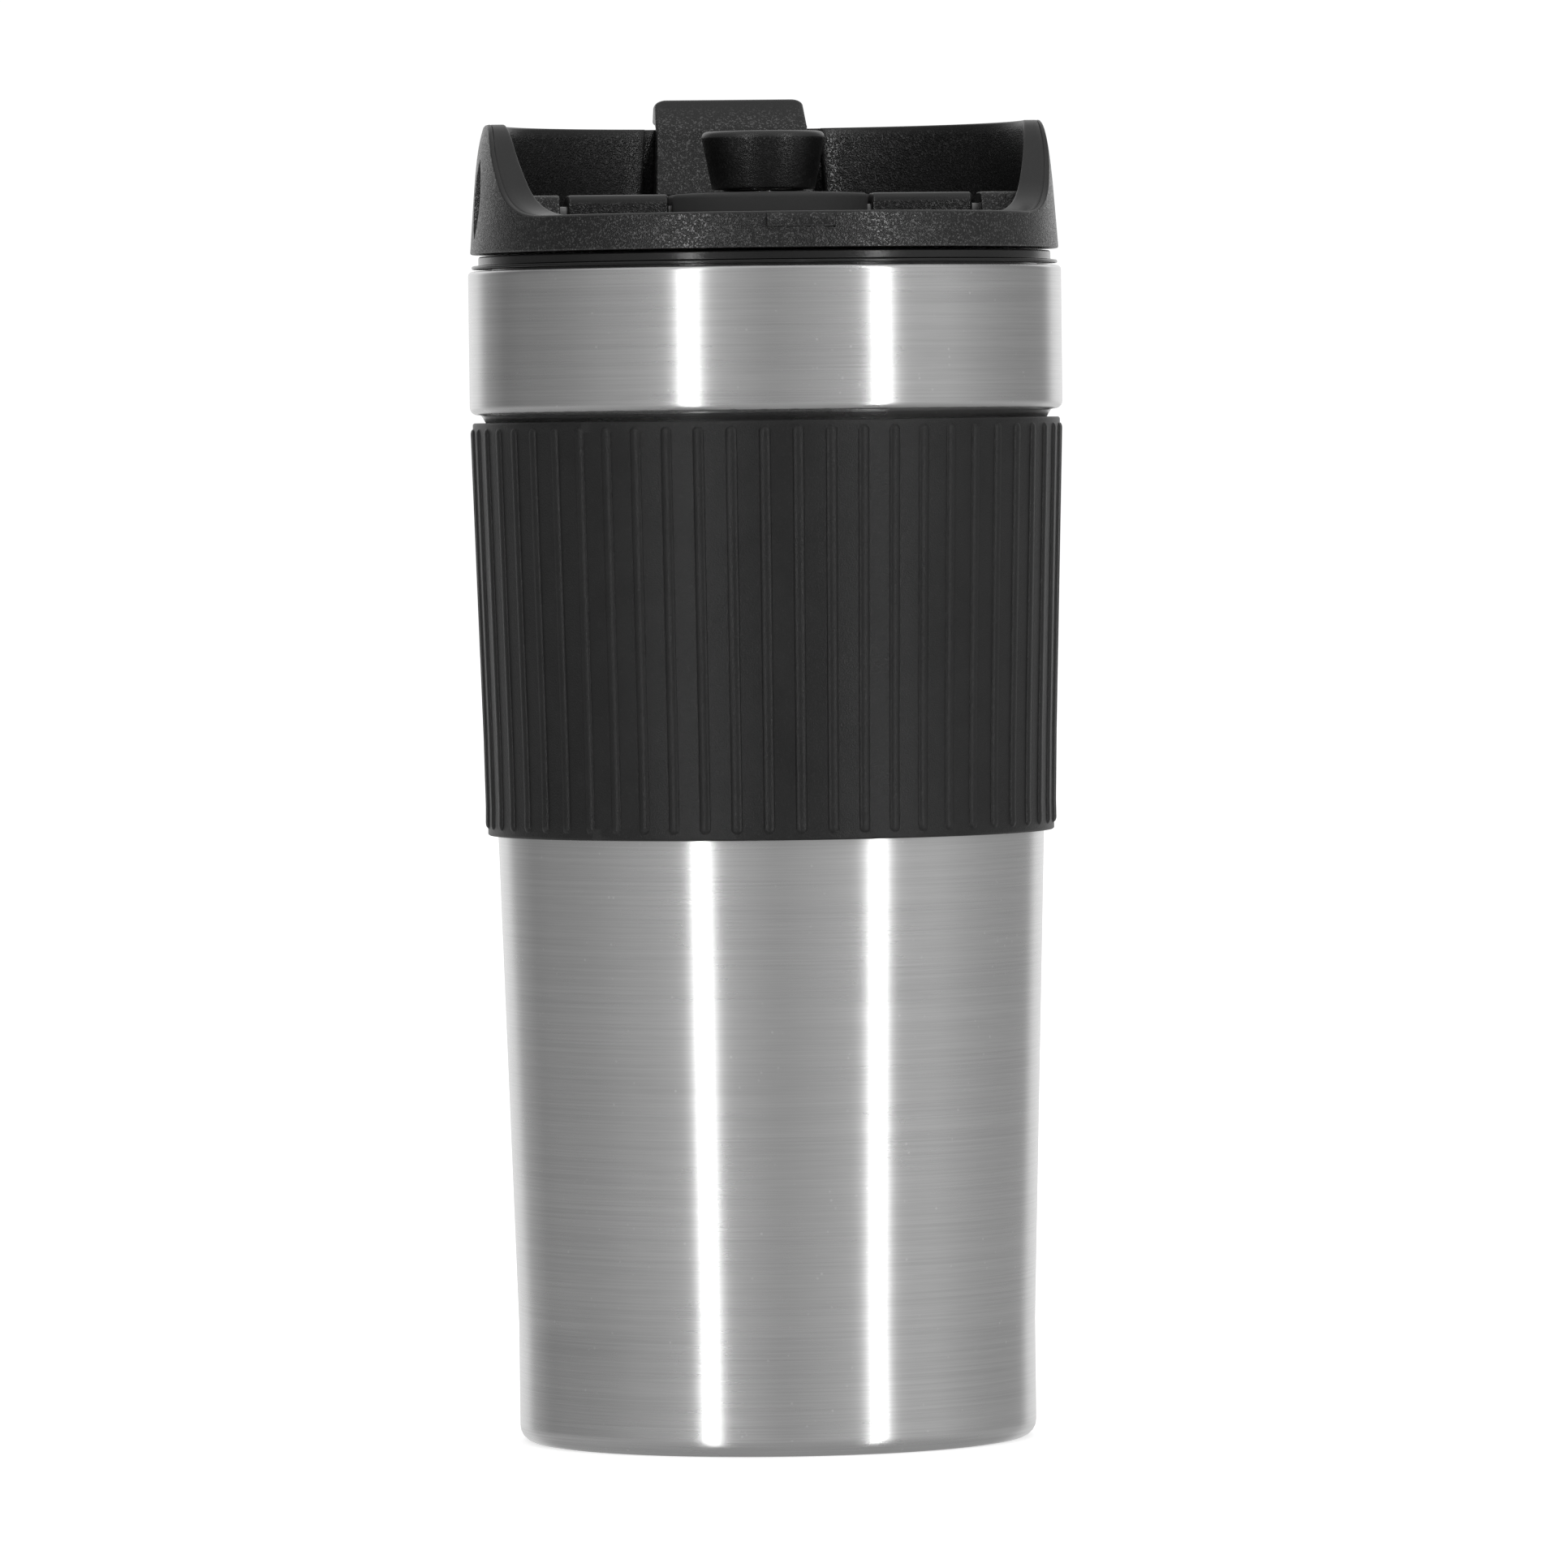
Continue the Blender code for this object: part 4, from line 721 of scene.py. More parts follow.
@dataclass(frozen=True)
class SteelBody:
    """Double-walled steel body, in millimetres: a tapered wall, a groove and a wider band.

    Attributes:
        foot_radius: Radius of the straight foot.
        foot_corner: Radius of the foot's rounded edge.
        straight_height: Height where the taper starts.
        neck_radius: Radius at the groove.
        groove_z: Bottom of the groove.
        band_z: Top of the groove.
        band_radius: Radius of the band.
        top_z: Height of the band's top.
        wall: Thickness of the steel.
        base_z: Height of the disc that closes the foot.
        base_gap: Gap around the disc.
    """

    foot_radius: float = 34.9
    foot_corner: float = 2.2
    straight_height: float = 16.0
    neck_radius: float = 38.5
    groove_z: float = 137.4
    band_z: float = 138.6
    band_radius: float = 40.0
    top_z: float = 158.0
    wall: float = 0.7
    base_z: float = 2.6
    base_gap: float = 0.3

    def cone(self, height: np.ndarray) -> np.ndarray:
        """Radius of the wall: straight to the foot's top, then growing evenly to the groove."""
        share = (height - self.straight_height) / (self.groove_z - self.straight_height)
        return self.foot_radius + (self.neck_radius - self.foot_radius) * np.maximum(share, 0.0)

    def shell(self) -> Surface:
        """Turned outer wall: foot turned in, taper, groove, band with rounded edges, inner face."""
        turn_in = self.foot_radius - self.foot_corner - self.wall
        step = self.band_radius - self.neck_radius
        inner = self.wall
        profile = rounded(
            [
                (turn_in, self.base_z, 0.0),
                (turn_in, 0.0, 0.25),
                (self.foot_radius, 0.0, self.foot_corner),
                (self.foot_radius, self.straight_height, 6.0),
                (self.neck_radius, self.groove_z - 0.5, 0.0),
                (self.neck_radius - 0.7, self.groove_z + 0.1, 0.2),
                (self.neck_radius, self.band_z + 0.1, 0.5),
                (self.band_radius, self.band_z + 0.05, step - 0.45),
                (self.band_radius, self.top_z, 0.55),
                (self.band_radius - self.wall, self.top_z, 0.1),
                (self.band_radius - self.wall, self.band_z + step, 0.0),
                (self.neck_radius - inner, self.band_z + inner, 0.0),
                (self.neck_radius - inner - 0.7, self.groove_z, 0.0),
                (self.foot_radius - inner, self.straight_height, 0.0),
                (self.foot_radius - inner, inner + 1.5, 1.2),
                (turn_in + inner, inner, 0.0),
                (turn_in + inner, self.base_z, 0.0),
            ]
        )
        return turned(profile, 256)

    def base(self) -> Surface:
        """Turned disc that closes the foot, its middle set a little higher than its edge."""
        radius = self.foot_radius - self.foot_corner - self.wall - self.base_gap
        dish_flat, dish_edge, dish_round = 0.5 * radius, 0.8 * radius, 3.0
        low, middle, high = self.base_z - self.wall, self.base_z, self.base_z + self.wall
        return turned(
            rounded(
                [
                    (0.0, middle, 0.0),
                    (dish_flat, middle, dish_round),
                    (dish_edge, low, dish_round),
                    (radius, low, 0.1),
                    (radius, middle, 0.1),
                    (dish_edge, middle, dish_round),
                    (dish_flat, high, dish_round),
                    (0.0, high, 0.0),
                ],
                closed=False,
            ),
            wrap=False,
        )

    def build(self) -> None:
        """Make and dress the body's pieces."""
        steel = BrushedSteel().material("brushed_steel")
        place("steel_shell", self.shell(), steel, "mug", ["outer_shell"])
        under = BrushedSteel(tone=0.5, roughness=0.34, contrast=0.1).material("base_steel")
        place("base_disc", self.base(), under, "mug", ["base_plate"])
        dress("inner_liner", BrushedSteel(tone=0.55, roughness=0.3, lines=2600.0).material("liner_steel"))


@dataclass(frozen=True)
class GripSleeve:
    """Rubber sleeve with upright ribs, in millimetres.

    Attributes:
        body: The steel body that it sits on.
        bottom_z: Height of its lower edge.
        top_z: Height of its upper edge.
        gap: Gap to the steel.
        wall: Thickness between the ribs.
        flare: How much thicker it gets at its lower edge.
        flare_height: Height over which the flare fades out.
        rib_count: Number of ribs.
        rib_width: Width of a rib.
        rib_height: How far a rib stands up.
        rib_low: Height where the ribs start.
        rib_high: Height where they end.
        phase: Angle of the first rib in degrees.
    """

    body: SteelBody
    bottom_z: float = 82.0
    top_z: float = 137.6
    gap: float = 0.3
    wall: float = 0.84
    flare: float = 0.25
    flare_height: float = 6.0
    rib_count: int = 56
    rib_width: float = 1.5
    rib_height: float = 0.34
    rib_low: float = 82.9
    rib_high: float = 136.8
    phase: float = -1.0

    def rib(self, along: np.ndarray, height: np.ndarray) -> np.ndarray:
        """Height of the ribs: a bar with round ends and a domed section, steep at its edge.

        With s the share of the way from edge to middle, the height is H (1 - (1 - s)^2)^0.6.

        Args:
            along: Distance from the middle of the nearest rib.
            height: Height on the mug.

        Returns:
            How far the rubber stands up there.
        """
        half = self.rib_width / 2
        middle = (self.rib_low + self.rib_high) / 2
        beyond = np.maximum(np.abs(height - middle) - ((self.rib_high - self.rib_low) / 2 - half), 0.0)
        inside = half - np.hypot(along, beyond)
        share = np.clip(inside / half, 0.0, 1.0)
        return self.rib_height * (1 - (1 - share) ** 2) ** 0.6

    def surface(self) -> Surface:
        """Grid of angle by section; the outside is the cone plus wall, flare and ribs."""
        offsets = np.array([0.0, 0.2, 0.38, 0.52, 0.62, 0.69, 0.73, 0.75, 0.85])
        pitch = 360.0 / self.rib_count
        mean = 39.0
        beside = np.concatenate([-offsets[:0:-1], offsets])
        across_rib = np.append(beside, math.radians(pitch) * mean / 2)
        angle = np.radians(self.phase + np.arange(self.rib_count) * pitch)[:, None] + across_rib[None] / mean
        ends = np.array([-0.12, 0.0, 0.06, 0.12, 0.18, 0.24, 0.32, 0.42, 0.55, 0.7, 0.9, 1.3])
        height = np.concatenate(
            [
                self.bottom_z + np.array([0.28, 0.55]),
                self.rib_low + ends,
                np.linspace(self.rib_low + 3.0, self.rib_high - 3.0, 6),
                (self.rib_high - ends)[::-1],
            ]
        )
        flare = self.flare * np.clip(1 - (height - self.bottom_z) / self.flare_height, 0.0, 1.0)
        outer = self.body.cone(height) + self.gap + self.wall + flare
        ribbed = outer[None, None] + self.rib(across_rib[None, :, None], height[None, None])
        ribbed = np.broadcast_to(ribbed, (*angle.shape, len(height))).reshape(angle.size, -1)
        low_inner = float(self.body.cone(np.array(self.bottom_z))) + self.gap
        high_inner = float(self.body.cone(np.array(self.top_z))) + self.gap
        low_edge = arc((outer[0] - 0.28, self.bottom_z + 0.28), 0.28, -90.0, -12.0, 4)
        high_edge = arc((outer[-1] - 0.3, self.top_z - 0.3), 0.3, 12.0, 90.0, 4)
        before = np.concatenate([[(low_inner, self.bottom_z + 0.2), (low_inner + 0.2, self.bottom_z)], low_edge])
        after = np.concatenate([high_edge, [(high_inner + 0.15, self.top_z), (high_inner, self.top_z - 0.15)]])
        ones = np.ones((angle.size, 1))
        radius = np.concatenate([ones * before[:, 0], ribbed, ones * after[:, 0]], axis=1)
        level = np.concatenate([before[:, 1], height, after[:, 1]])
        turn_angle = angle.reshape(-1, 1)
        points = np.stack([radius * np.sin(turn_angle), -radius * np.cos(turn_angle), level + 0 * radius], axis=2)
        return grid(points * MM, wrap_v=True)

    def build(self) -> None:
        """Make and dress the sleeve."""
        rubber = SoftRubber().material("grip_rubber")
        place("ribbed_sleeve", self.surface(), rubber, "mug", ["grip_sleeve"])


@dataclass(frozen=True)
class ThreadCollar:
    """Plastic ring in the mouth, with an inside thread, in millimetres.

    Attributes:
        ring_radius: Radius of the ring that shows under the lid.
        flange_radius: Radius of the thin flange on the steel.
        bore: Radius inside.
        lead: Climb of the thread in one turn.
        starts: Number of ridges.
        sweep: Angle that a ridge covers, in degrees.
    """

    ring_radius: float = 38.6
    flange_radius: float = 39.5
    bore: float = 34.8
    lead: float = 6.0
    starts: int = 2
    sweep: float = 165.0

    def ring(self) -> Surface:
        """Turned ring with its flange, plug and ledge."""
        profile = rounded(
            [
                (32.3, 143.9, 0.2),
                (36.8, 143.9, 0.2),
                (36.8, 158.3, 0.0),
                (self.flange_radius, 158.3, 0.12),
                (self.flange_radius, 158.75, 0.2),
                (self.ring_radius, 158.78, 0.2),
                (self.ring_radius, 160.0, 0.3),
                (self.bore, 160.0, 0.3),
                (self.bore, 145.5, 0.1),
                (32.3, 145.5, 0.2),
            ]
        )
        return turned(profile, 224)

    def thread(self, first: float) -> Surface:
        """Ridge on a rising curve: angle a, height start + lead a / 360, tapered at both ends.

        Args:
            first: Angle where the ridge starts, in degrees.

        Returns:
            The ridge, sunk a little into the ring.
        """
        steps = 72
        share = np.linspace(0.0, 1.0, steps + 1)
        angle = np.radians(first + self.sweep * share)
        middle = 152.7 + self.lead * self.sweep / 360.0 * share
        tall = 0.05 + 0.95 * smooth_step(np.minimum(share, 1 - share) / 0.09)
        section = np.array([(0.3, 0.75), (-0.25, 0.68), (-0.9, 0.3), (-0.9, -0.3), (-0.25, -0.68), (0.3, -0.75)])
        radius = self.bore + np.where(section[None, :, 0] < 0, section[None, :, 0] * tall[:, None], 0.3)
        level = middle[:, None] + section[None, :, 1] * (0.4 + 0.6 * tall[:, None])
        turn_angle = angle[:, None]
        points = np.stack([radius * np.sin(turn_angle), -radius * np.cos(turn_angle), level], axis=2) * MM
        ridge = grid(points, wrap_u=False, wrap_v=True)
        rows = len(section)
        fan = np.arange(1, rows - 1)
        end = steps * rows
        start_cap = np.stack([0 * fan, fan + 1, fan], axis=1)
        end_cap = np.stack([end + 0 * fan, end + fan, end + fan + 1], axis=1)
        ridge.triangles = np.concatenate([start_cap, end_cap])
        ridge.quads = ridge.quads[:, ::-1]
        ridge.triangles = ridge.triangles[:, ::-1]
        return ridge

    def build(self) -> None:
        """Make and dress the collar."""
        glossy = MouldedPlastic(
            tone=0.003, smooth_tone=0.003, grains=5000.0, bump=0.00001, roughness=0.14, smooth_roughness=0.14,
            sparkle=0.02, specular=0.5
        ).material("collar_plastic")
        surface = self.ring().joined(*(self.thread(3.0 + 360.0 / self.starts * n) for n in range(self.starts)))
        place("thread_ring", surface, glossy, "mug", ["thread_collar"])


@dataclass(frozen=True)
class LidShell:
    """Lid with a saddle-shaped wall, in millimetres.

    Attributes:
        bottom_z: Height of the wall's lower edge.
        deck_z: Height of the deck inside.
        rim_z: Height of the wall at the back.
        front_z: Height of the wall in front.
        foot_radius: Outer radius at the bottom.
        draft: How much the wall leans in for each millimetre up.
        bowl_radius: Inner radius of the wall.
        recess_radius: Radius of the pocket behind the tab.
        arc_y: Where the level front of the cut ends.
        arc_radius: Radius of the cut's curve.
        slope: Angle of the cut's flank in degrees.
        edge: Radius of the wall's upper edges.
        hinge_y: Place of the hinge line from front to back.
        hinge_z: Height of the hinge line.
        slit_from: Angle where the close columns at the slit begin, in degrees from the front.
        slit_to: Angle where they end.
        pocket_from: Angle where the pocket begins.
        slit_half: Half the height of the slit.
        slit_bulge: Half the width of the slit.
        slit_y: Place of the slit from front to back.
        slit_rise: Height of the slit's middle above the wall's lower edge.
    """

    bottom_z: float = 160.3
    deck_z: float = 161.9
    rim_z: float = 177.7
    front_z: float = 165.1
    foot_radius: float = 39.7
    draft: float = 0.075
    bowl_radius: float = 35.2
    recess_radius: float = 36.845
    arc_y: float = -21.5
    arc_radius: float = 13.0
    slope: float = 48.0
    edge: float = 0.28
    hinge_y: float = -5.2
    hinge_z: float = 165.6
    slit_from: float = 82.0
    slit_to: float = 92.4
    pocket_from: float = 158.0
    slit_half: float = 5.3
    slit_bulge: float = 2.3
    slit_y: float = -2.0
    slit_rise: float = 7.3

    def outer(self, height: np.ndarray) -> np.ndarray:
        """Outer radius: even draft, and a rounding that grows with the sixth power of the height."""
        above = height - self.bottom_z
        return self.foot_radius - self.draft * above - 0.8 * (above / 17.4) ** 6

    def cut(self, y: np.ndarray) -> np.ndarray:
        """Height of the saddle cut: level, then an arc, then a straight flank, held at the rim.

        Args:
            y: Distance behind the mug's axis.

        Returns:
            Height of the wall's top there.
        """
        lean = math.radians(self.slope)
        run = np.clip(y - self.arc_y, 0.0, self.arc_radius * math.sin(lean))
        bend = self.arc_radius - np.sqrt(self.arc_radius**2 - run**2)
        beyond = np.maximum(y - self.arc_y - self.arc_radius * math.sin(lean), 0.0)
        rising = self.front_z + bend + beyond * math.tan(lean)
        blend = 3.0
        share = np.clip(0.5 + 0.5 * (self.rim_z - rising) / blend, 0.0, 1.0)
        return self.rim_z * (1 - share) + rising * share - blend * share * (1 - share)

    def recess_half(self, height: np.ndarray) -> np.ndarray:
        """Half the width of the pocket behind the tab, narrowing upwards with the tab."""
        return 12.8 - 0.95 * np.clip((height - 166.4) / 15.4, 0.0, 1.0)

    def wall(self) -> Surface:
        """Saddle wall: at each column a closed section, its top following the cut.

        Columns run from the back round the left, front and right to the back. Beside the pocket they
        follow its sides, whose half width changes with the height, and near the two slits they
        lie close together. The slits are lenses between two circles, sunk into the outside.
        """
        slit_zone = np.linspace(self.slit_from, self.slit_to, 53)
        before = np.linspace(0.0, self.slit_from, 92)[:-1]
        after = np.linspace(self.slit_to, self.pocket_from, 70)[1:]
        front = np.concatenate([before, slit_zone, after])
        front /= self.pocket_from
        side_x = np.array([0.12, 0.0, 0.0, -0.1, -0.5])
        bowl, recess = self.bowl_radius, self.recess_radius
        side_r = np.array([bowl + 0.12, bowl + 0.4, recess - 0.35, recess - 0.08, recess])
        pocket = np.linspace(1.0, 0.0, 15)[1:]
        count = len(front) + len(side_x) + len(pocket)
        inner_radius = np.concatenate(
            [np.full(len(front), self.bowl_radius), side_r, np.full(len(pocket), self.recess_radius)]
        )

        def half_angle(height: np.ndarray) -> np.ndarray:
            """Angle of each right-hand column at the heights given for it, by column and row."""
            half = self.recess_half(height)
            first = math.pi - np.arcsin((half + 0.4) / self.bowl_radius)
            last = np.arcsin((half - 0.5) / self.recess_radius)
            out = np.empty_like(height)
            a, b = len(front), len(front) + len(side_x)
            out[:a] = front[:, None] * first[:a]
            out[a:b] = math.pi - np.arcsin((half[a:b] + side_x[:, None]) / side_r[:, None])
            out[b:] = math.pi - pocket[:, None] * last[b:]
            return out

        def top_of(radius: np.ndarray, start: np.ndarray) -> np.ndarray:
            """Height of the cut above the given radii, found by three rounds of substitution."""
            height = start + 0.0 * radius
            for _ in range(3):
                height = self.cut(-radius * np.cos(half_angle(height)))
            return height

        inner = inner_radius[:, None]
        rim = np.full((count, 1), self.rim_z)
        outer_top = rim
        for _ in range(4):
            outer_top = self.cut(-self.outer(outer_top) * np.cos(half_angle(outer_top)))
        outer_top_radius = self.outer(outer_top)
        bottom_in = np.full((count, 1), self.bottom_z)
        share = np.linspace(0.0, 1.0, 84)[None]
        wall_z = self.bottom_z + 0.25 + (outer_top - self.edge - self.bottom_z - 0.25) * share
        wall_r = self.outer(wall_z)
        bend = np.linspace(0.0, math.pi / 2, 5)[None, 1:]
        edge_r = outer_top_radius - self.edge * (1 - np.cos(bend))
        edge_z = top_of(edge_r, outer_top) - self.edge * (1 - np.sin(bend))
        across_top = np.array([0.94, 0.905, 0.88, 0.855, 0.82, 0.6, 0.35, 0.12, 0.05])[None]
        face_in, face_out = inner + self.edge, outer_top_radius - self.edge
        face_r = face_in + (face_out - face_in) * across_top
        line = np.exp(-(((across_top - 0.88) / 0.028) ** 2)) * np.clip(outer_top_radius - inner, 0.0, 2.0) / 2.0
        face_z = top_of(face_r, outer_top) - 0.14 * line
        lip_r = inner + self.edge * (1 - np.sin(np.linspace(0.0, math.pi / 2, 5)))[None]
        lip_z = top_of(lip_r, outer_top) - self.edge * (1 - np.cos(np.linspace(0.0, math.pi / 2, 5)))[None]
        down = np.linspace(0.0, 1.0, 16)[None, 1:]
        inside_z = lip_z[:, -1:] + (self.bottom_z - lip_z[:, -1:]) * down
        inside_r = inner + 0.0 * inside_z
        outer_foot = np.full_like(inner, self.foot_radius)
        foot_r = np.concatenate([inner + 0.6, outer_foot - 0.25, outer_foot - 0.07], axis=1)
        foot_z = np.concatenate([bottom_in, bottom_in, bottom_in + 0.07], axis=1)
        radius = np.concatenate([foot_r, wall_r, edge_r, face_r, lip_r, inside_r], axis=1)
        height = np.concatenate([foot_z, wall_z, edge_z, face_z, lip_z, inside_z], axis=1)
        rows = np.cumsum([0, 3, wall_z.shape[1], edge_r.shape[1], face_r.shape[1], lip_r.shape[1], inside_r.shape[1]])
        angle = half_angle(height)
        right = self.carve(radius, angle, height, rows)
        left = right[-2:0:-1] * np.array([-1.0, 1.0, 1.0])
        points = np.concatenate([left, right]) * MM
        surface = grid(points, wrap_v=True)
        smooth = np.zeros(points.shape[:2])
        smooth[:, rows[2] : rows[5]] = 1.0
        surface.polish = smooth.ravel()
        return surface

    def carve(self, radius: np.ndarray, angle: np.ndarray, height: np.ndarray, rows: np.ndarray) -> np.ndarray:
        """Place the right half of the wall and sink the slit into its outside.

        The slit is where two circles of radius R overlap; its depth eases in over 0.3 mm.

        Args:
            radius: Radius by column and row.
            angle: Angle by column and row.
            height: Height by column and row.
            rows: Where each band of rows starts.

        Returns:
            Positions by column and row, in millimetres.
        """
        half, bulge = self.slit_half, self.slit_bulge
        big = (half**2 + bulge**2) / (2 * bulge)
        y = -radius * np.cos(angle) - self.slit_y
        rise = height - (self.bottom_z + self.slit_rise)
        far = np.hypot(np.abs(y) + big - bulge, rise)
        depth = 1.4 * smooth_step((big - far) / 0.3)
        depth[:, : rows[1]] = 0.0
        depth[:, rows[2] :] = 0.0
        sunk = radius - depth
        return np.stack([sunk * np.sin(angle), -sunk * np.cos(angle), height], axis=2)

    def deck(self) -> Surface:
        """Round floor of the lid with the drinking hole, the vent and the rod hole."""
        slot = np.concatenate([arc((4.0, 25.0), 3.5, -90.0, 90.0, 16), arc((-4.0, 25.0), 3.5, 90.0, 270.0, 16)])
        outlines = [
            circle(37.2, 192),
            slot[::-1],
            circle(1.1, 32, clockwise=True, centre=(0.0, -24.0)),
            circle(4.9, 48, clockwise=True),
        ]
        deck = slab([outline * MM for outline in outlines], 160.36 * MM, self.deck_z * MM, 0.1 * MM, 0.3 * MM)
        return deck

    def post(self, side: int) -> Surface:
        """Post that holds a pin's outer end, rounded on top and sunk into the wall."""
        y, z = self.hinge_y, self.hinge_z
        outline = rounded(
            [
                (y - 3.3, 161.4, 0.0),
                (y + 4.0, 161.4, 0.0),
                (y + 4.0, z + 0.2, 0.6),
                (y + 2.4, z + 2.4, 0.9),
                (y - 2.4, z + 2.4, 0.9),
                (y - 3.3, z - 0.4, 0.6),
            ]
        )
        near, far = sorted((side * 28.5, side * 36.2))
        return across(slab([outline], near * MM, far * MM, 0.3 * MM, 0.3 * MM))

    def lug(self) -> Surface:
        """Low catch on the outside of the front rim, with a sloping top."""
        face = self.foot_radius - self.draft * (self.front_z - self.bottom_z)
        outline = rounded(
            [
                (-face + 1.5, 163.1, 0.0),
                (-face + 1.5, 164.75, 0.0),
                (-face - 0.2, 164.75, 0.14),
                (-face - 0.46, 164.2, 0.14),
                (-face - 0.46, 163.1, 0.14),
            ]
        )
        lug = across(slab([outline[::-1]], -4.55 * MM, 4.55 * MM, 0.2 * MM, 0.2 * MM))
        return lug

    def build(self) -> None:
        """Make and dress the lid's pieces."""
        # Painted highlight: the wall's polished cut faces and top edges take the lighter smooth_tone 0.01 against tone
        # 0.003.
        plastic = MouldedPlastic().material("lid_plastic")
        shell = self.wall().joined(self.deck(), self.post(-1), self.post(1), self.lug())
        place("lid_wall", shell, plastic, "lid", ["lid_shell"])
        dress("lid_insert", plastic)


@dataclass(frozen=True)
class CentreBoss:
    """Low round boss that the press rod comes through, in millimetres.

    Attributes:
        radius: Its radius.
        bottom_z: Height of its underside.
        edge_z: Height of its edge.
        dome: Rise of its middle.
        notch_x: Distance of the notches beside the hinge from the middle.
    """

    radius: float = 15.1
    bottom_z: float = 162.2
    edge_z: float = 168.0
    dome: float = 0.4
    notch_x: float = 13.15

    def surface(self) -> Surface:
        """Notched circle carried up, its top drawn inwards in rings under a shallow dome."""
        notch = 3.69
        low, high = -5.2 - notch, -5.2 + notch
        ring = circle(self.radius, 288)
        edges = np.array([low - 1e-3, low, high, high + 1e-3])
        angles = np.degrees(np.arcsin(edges / self.radius))
        extra = np.radians(np.concatenate([angles, 180.0 - angles]))
        extra_points = self.radius * np.stack([np.cos(extra), np.sin(extra)], axis=1)
        ring = np.concatenate([ring, extra_points])
        ring = ring[np.argsort(np.arctan2(ring[:, 1], ring[:, 0]))]
        notched = (ring[:, 1] >= low) & (ring[:, 1] <= high)
        ring[notched, 0] = np.clip(ring[notched, 0], -self.notch_x, self.notch_x)
        bend = np.linspace(0.0, math.pi / 2, 7)
        away = np.concatenate([[0.0, 0.0], 0.55 * (1 - np.cos(bend))])
        height = np.concatenate([[self.bottom_z, self.edge_z - 0.9], self.edge_z - 0.55 * (1 - np.sin(bend))])
        wall = inset(ring, away)
        shrink = np.array([0.97, 0.9, 0.75, 0.55, 0.35, 0.16])
        top = wall[:, -1:] * shrink[None, :, None]
        flat = np.concatenate([wall, top], axis=1)
        level = np.broadcast_to(np.concatenate([height, self.edge_z + self.dome * (1 - shrink**2)]), flat.shape[:2])
        points = np.concatenate([flat, level[..., None]], axis=2) * MM
        body = grid(points)
        rows, count = points.shape[1], len(points)
        column = np.arange(count)
        following = (column + 1) % count
        total = count * rows
        poles = np.array([[0.0, 0.0, self.bottom_z], [0.0, 0.0, self.edge_z + self.dome]]) * MM
        low_fan = np.stack([np.full(count, total), following * rows, column * rows], axis=1)
        high_fan = np.stack([np.full(count, total + 1), column * rows + rows - 1, following * rows + rows - 1], axis=1)
        polish = np.zeros(points.shape[:2])
        # The rounded top edge is partly polished, which also paints it a little lighter as a painted highlight.
        polish[:, 3:9] = 0.15
        return Surface(
            np.concatenate([body.points, poles]),
            body.quads,
            np.concatenate([low_fan, high_fan]),
            polish=np.append(polish.ravel(), [0.0, 0.0]),
        )

    def build(self) -> None:
        """Make and dress the boss."""
        place("press_boss", self.surface(), bpy.data.materials["lid_plastic"], "lid", ["centre_boss"])


@dataclass(frozen=True)
class Plunger:
    """Knob, rod and filter stack, in millimetres.

    Attributes:
        bottom_z: Height of the knob's underside.
        height: The knob's height.
        bottom_radius: Its radius at the bottom.
        top_radius: Its radius at the top.
        rod_radius: Radius of the rod.
    """

    bottom_z: float = 168.7
    height: float = 7.8
    bottom_radius: float = 6.95
    top_radius: float = 8.45
    rod_radius: float = 2.0

    def knob(self) -> Surface:
        """Inverted cone with a rounded top edge and a slightly dished top."""
        top = self.bottom_z + self.height
        profile = rounded(
            [
                (0.0, self.bottom_z - 0.22, 0.0),
                (5.4, self.bottom_z - 0.22, 0.1),
                (5.4, self.bottom_z, 0.0),
                (self.bottom_radius, self.bottom_z, 0.3),
                (self.top_radius, top, 0.75),
                (self.top_radius - 2.2, top - 0.02, 0.6),
                (self.top_radius - 3.4, top - 0.25, 1.2),
                (0.0, top - 0.3, 0.0),
            ],
            closed=False,
            steps=7,
        )
        surface = turned(profile, 144, wrap=False)
        height = surface.points[:, 2] / MM
        surface.polish = smooth_step((height - (top - 0.9)) / 0.2)
        return surface

    def rod(self) -> Surface:
        """Turned rod with a small chamfer at each end."""
        r = self.rod_radius
        low, high = 18.75, self.bottom_z + 5.2
        corners = [(0.0, low, 0.0), (r, low, 0.3), (r, 90.0, 0.0), (r, high, 0.3), (0.0, high, 0.0)]
        return turned(rounded(corners, closed=False), 64, wrap=False)

    def build(self) -> None:
        """Make and dress the plunger."""
        # Painted highlight: the knob's polished top band takes smooth_tone 0.02, five times its tone, for the light
        # band along its top edge.
        knob = MouldedPlastic(tone=0.004, smooth_tone=0.02, grains=4600.0, bump=0.00003, roughness=0.36, sparkle=0.3)
        place("press_knob", self.knob(), knob.material("knob_plastic"), "plunger", ["plunger_knob"])
        rod = BrushedSteel(tone=0.62, roughness=0.2, lines=3000.0, contrast=0.08).material("rod_steel")
        place("press_rod", self.rod(), rod, "plunger", ["plunger_rod"])
        dress("press_nut", rod)
        dress("spring_ring", rod)
        plate = BrushedSteel(tone=0.56, roughness=0.3, lines=1500.0).material("filter_steel")
        dress("spiral_plate", plate)
        dress("cross_plate", plate)
        dress("filter_mesh", WovenMesh().material("mesh_steel"))


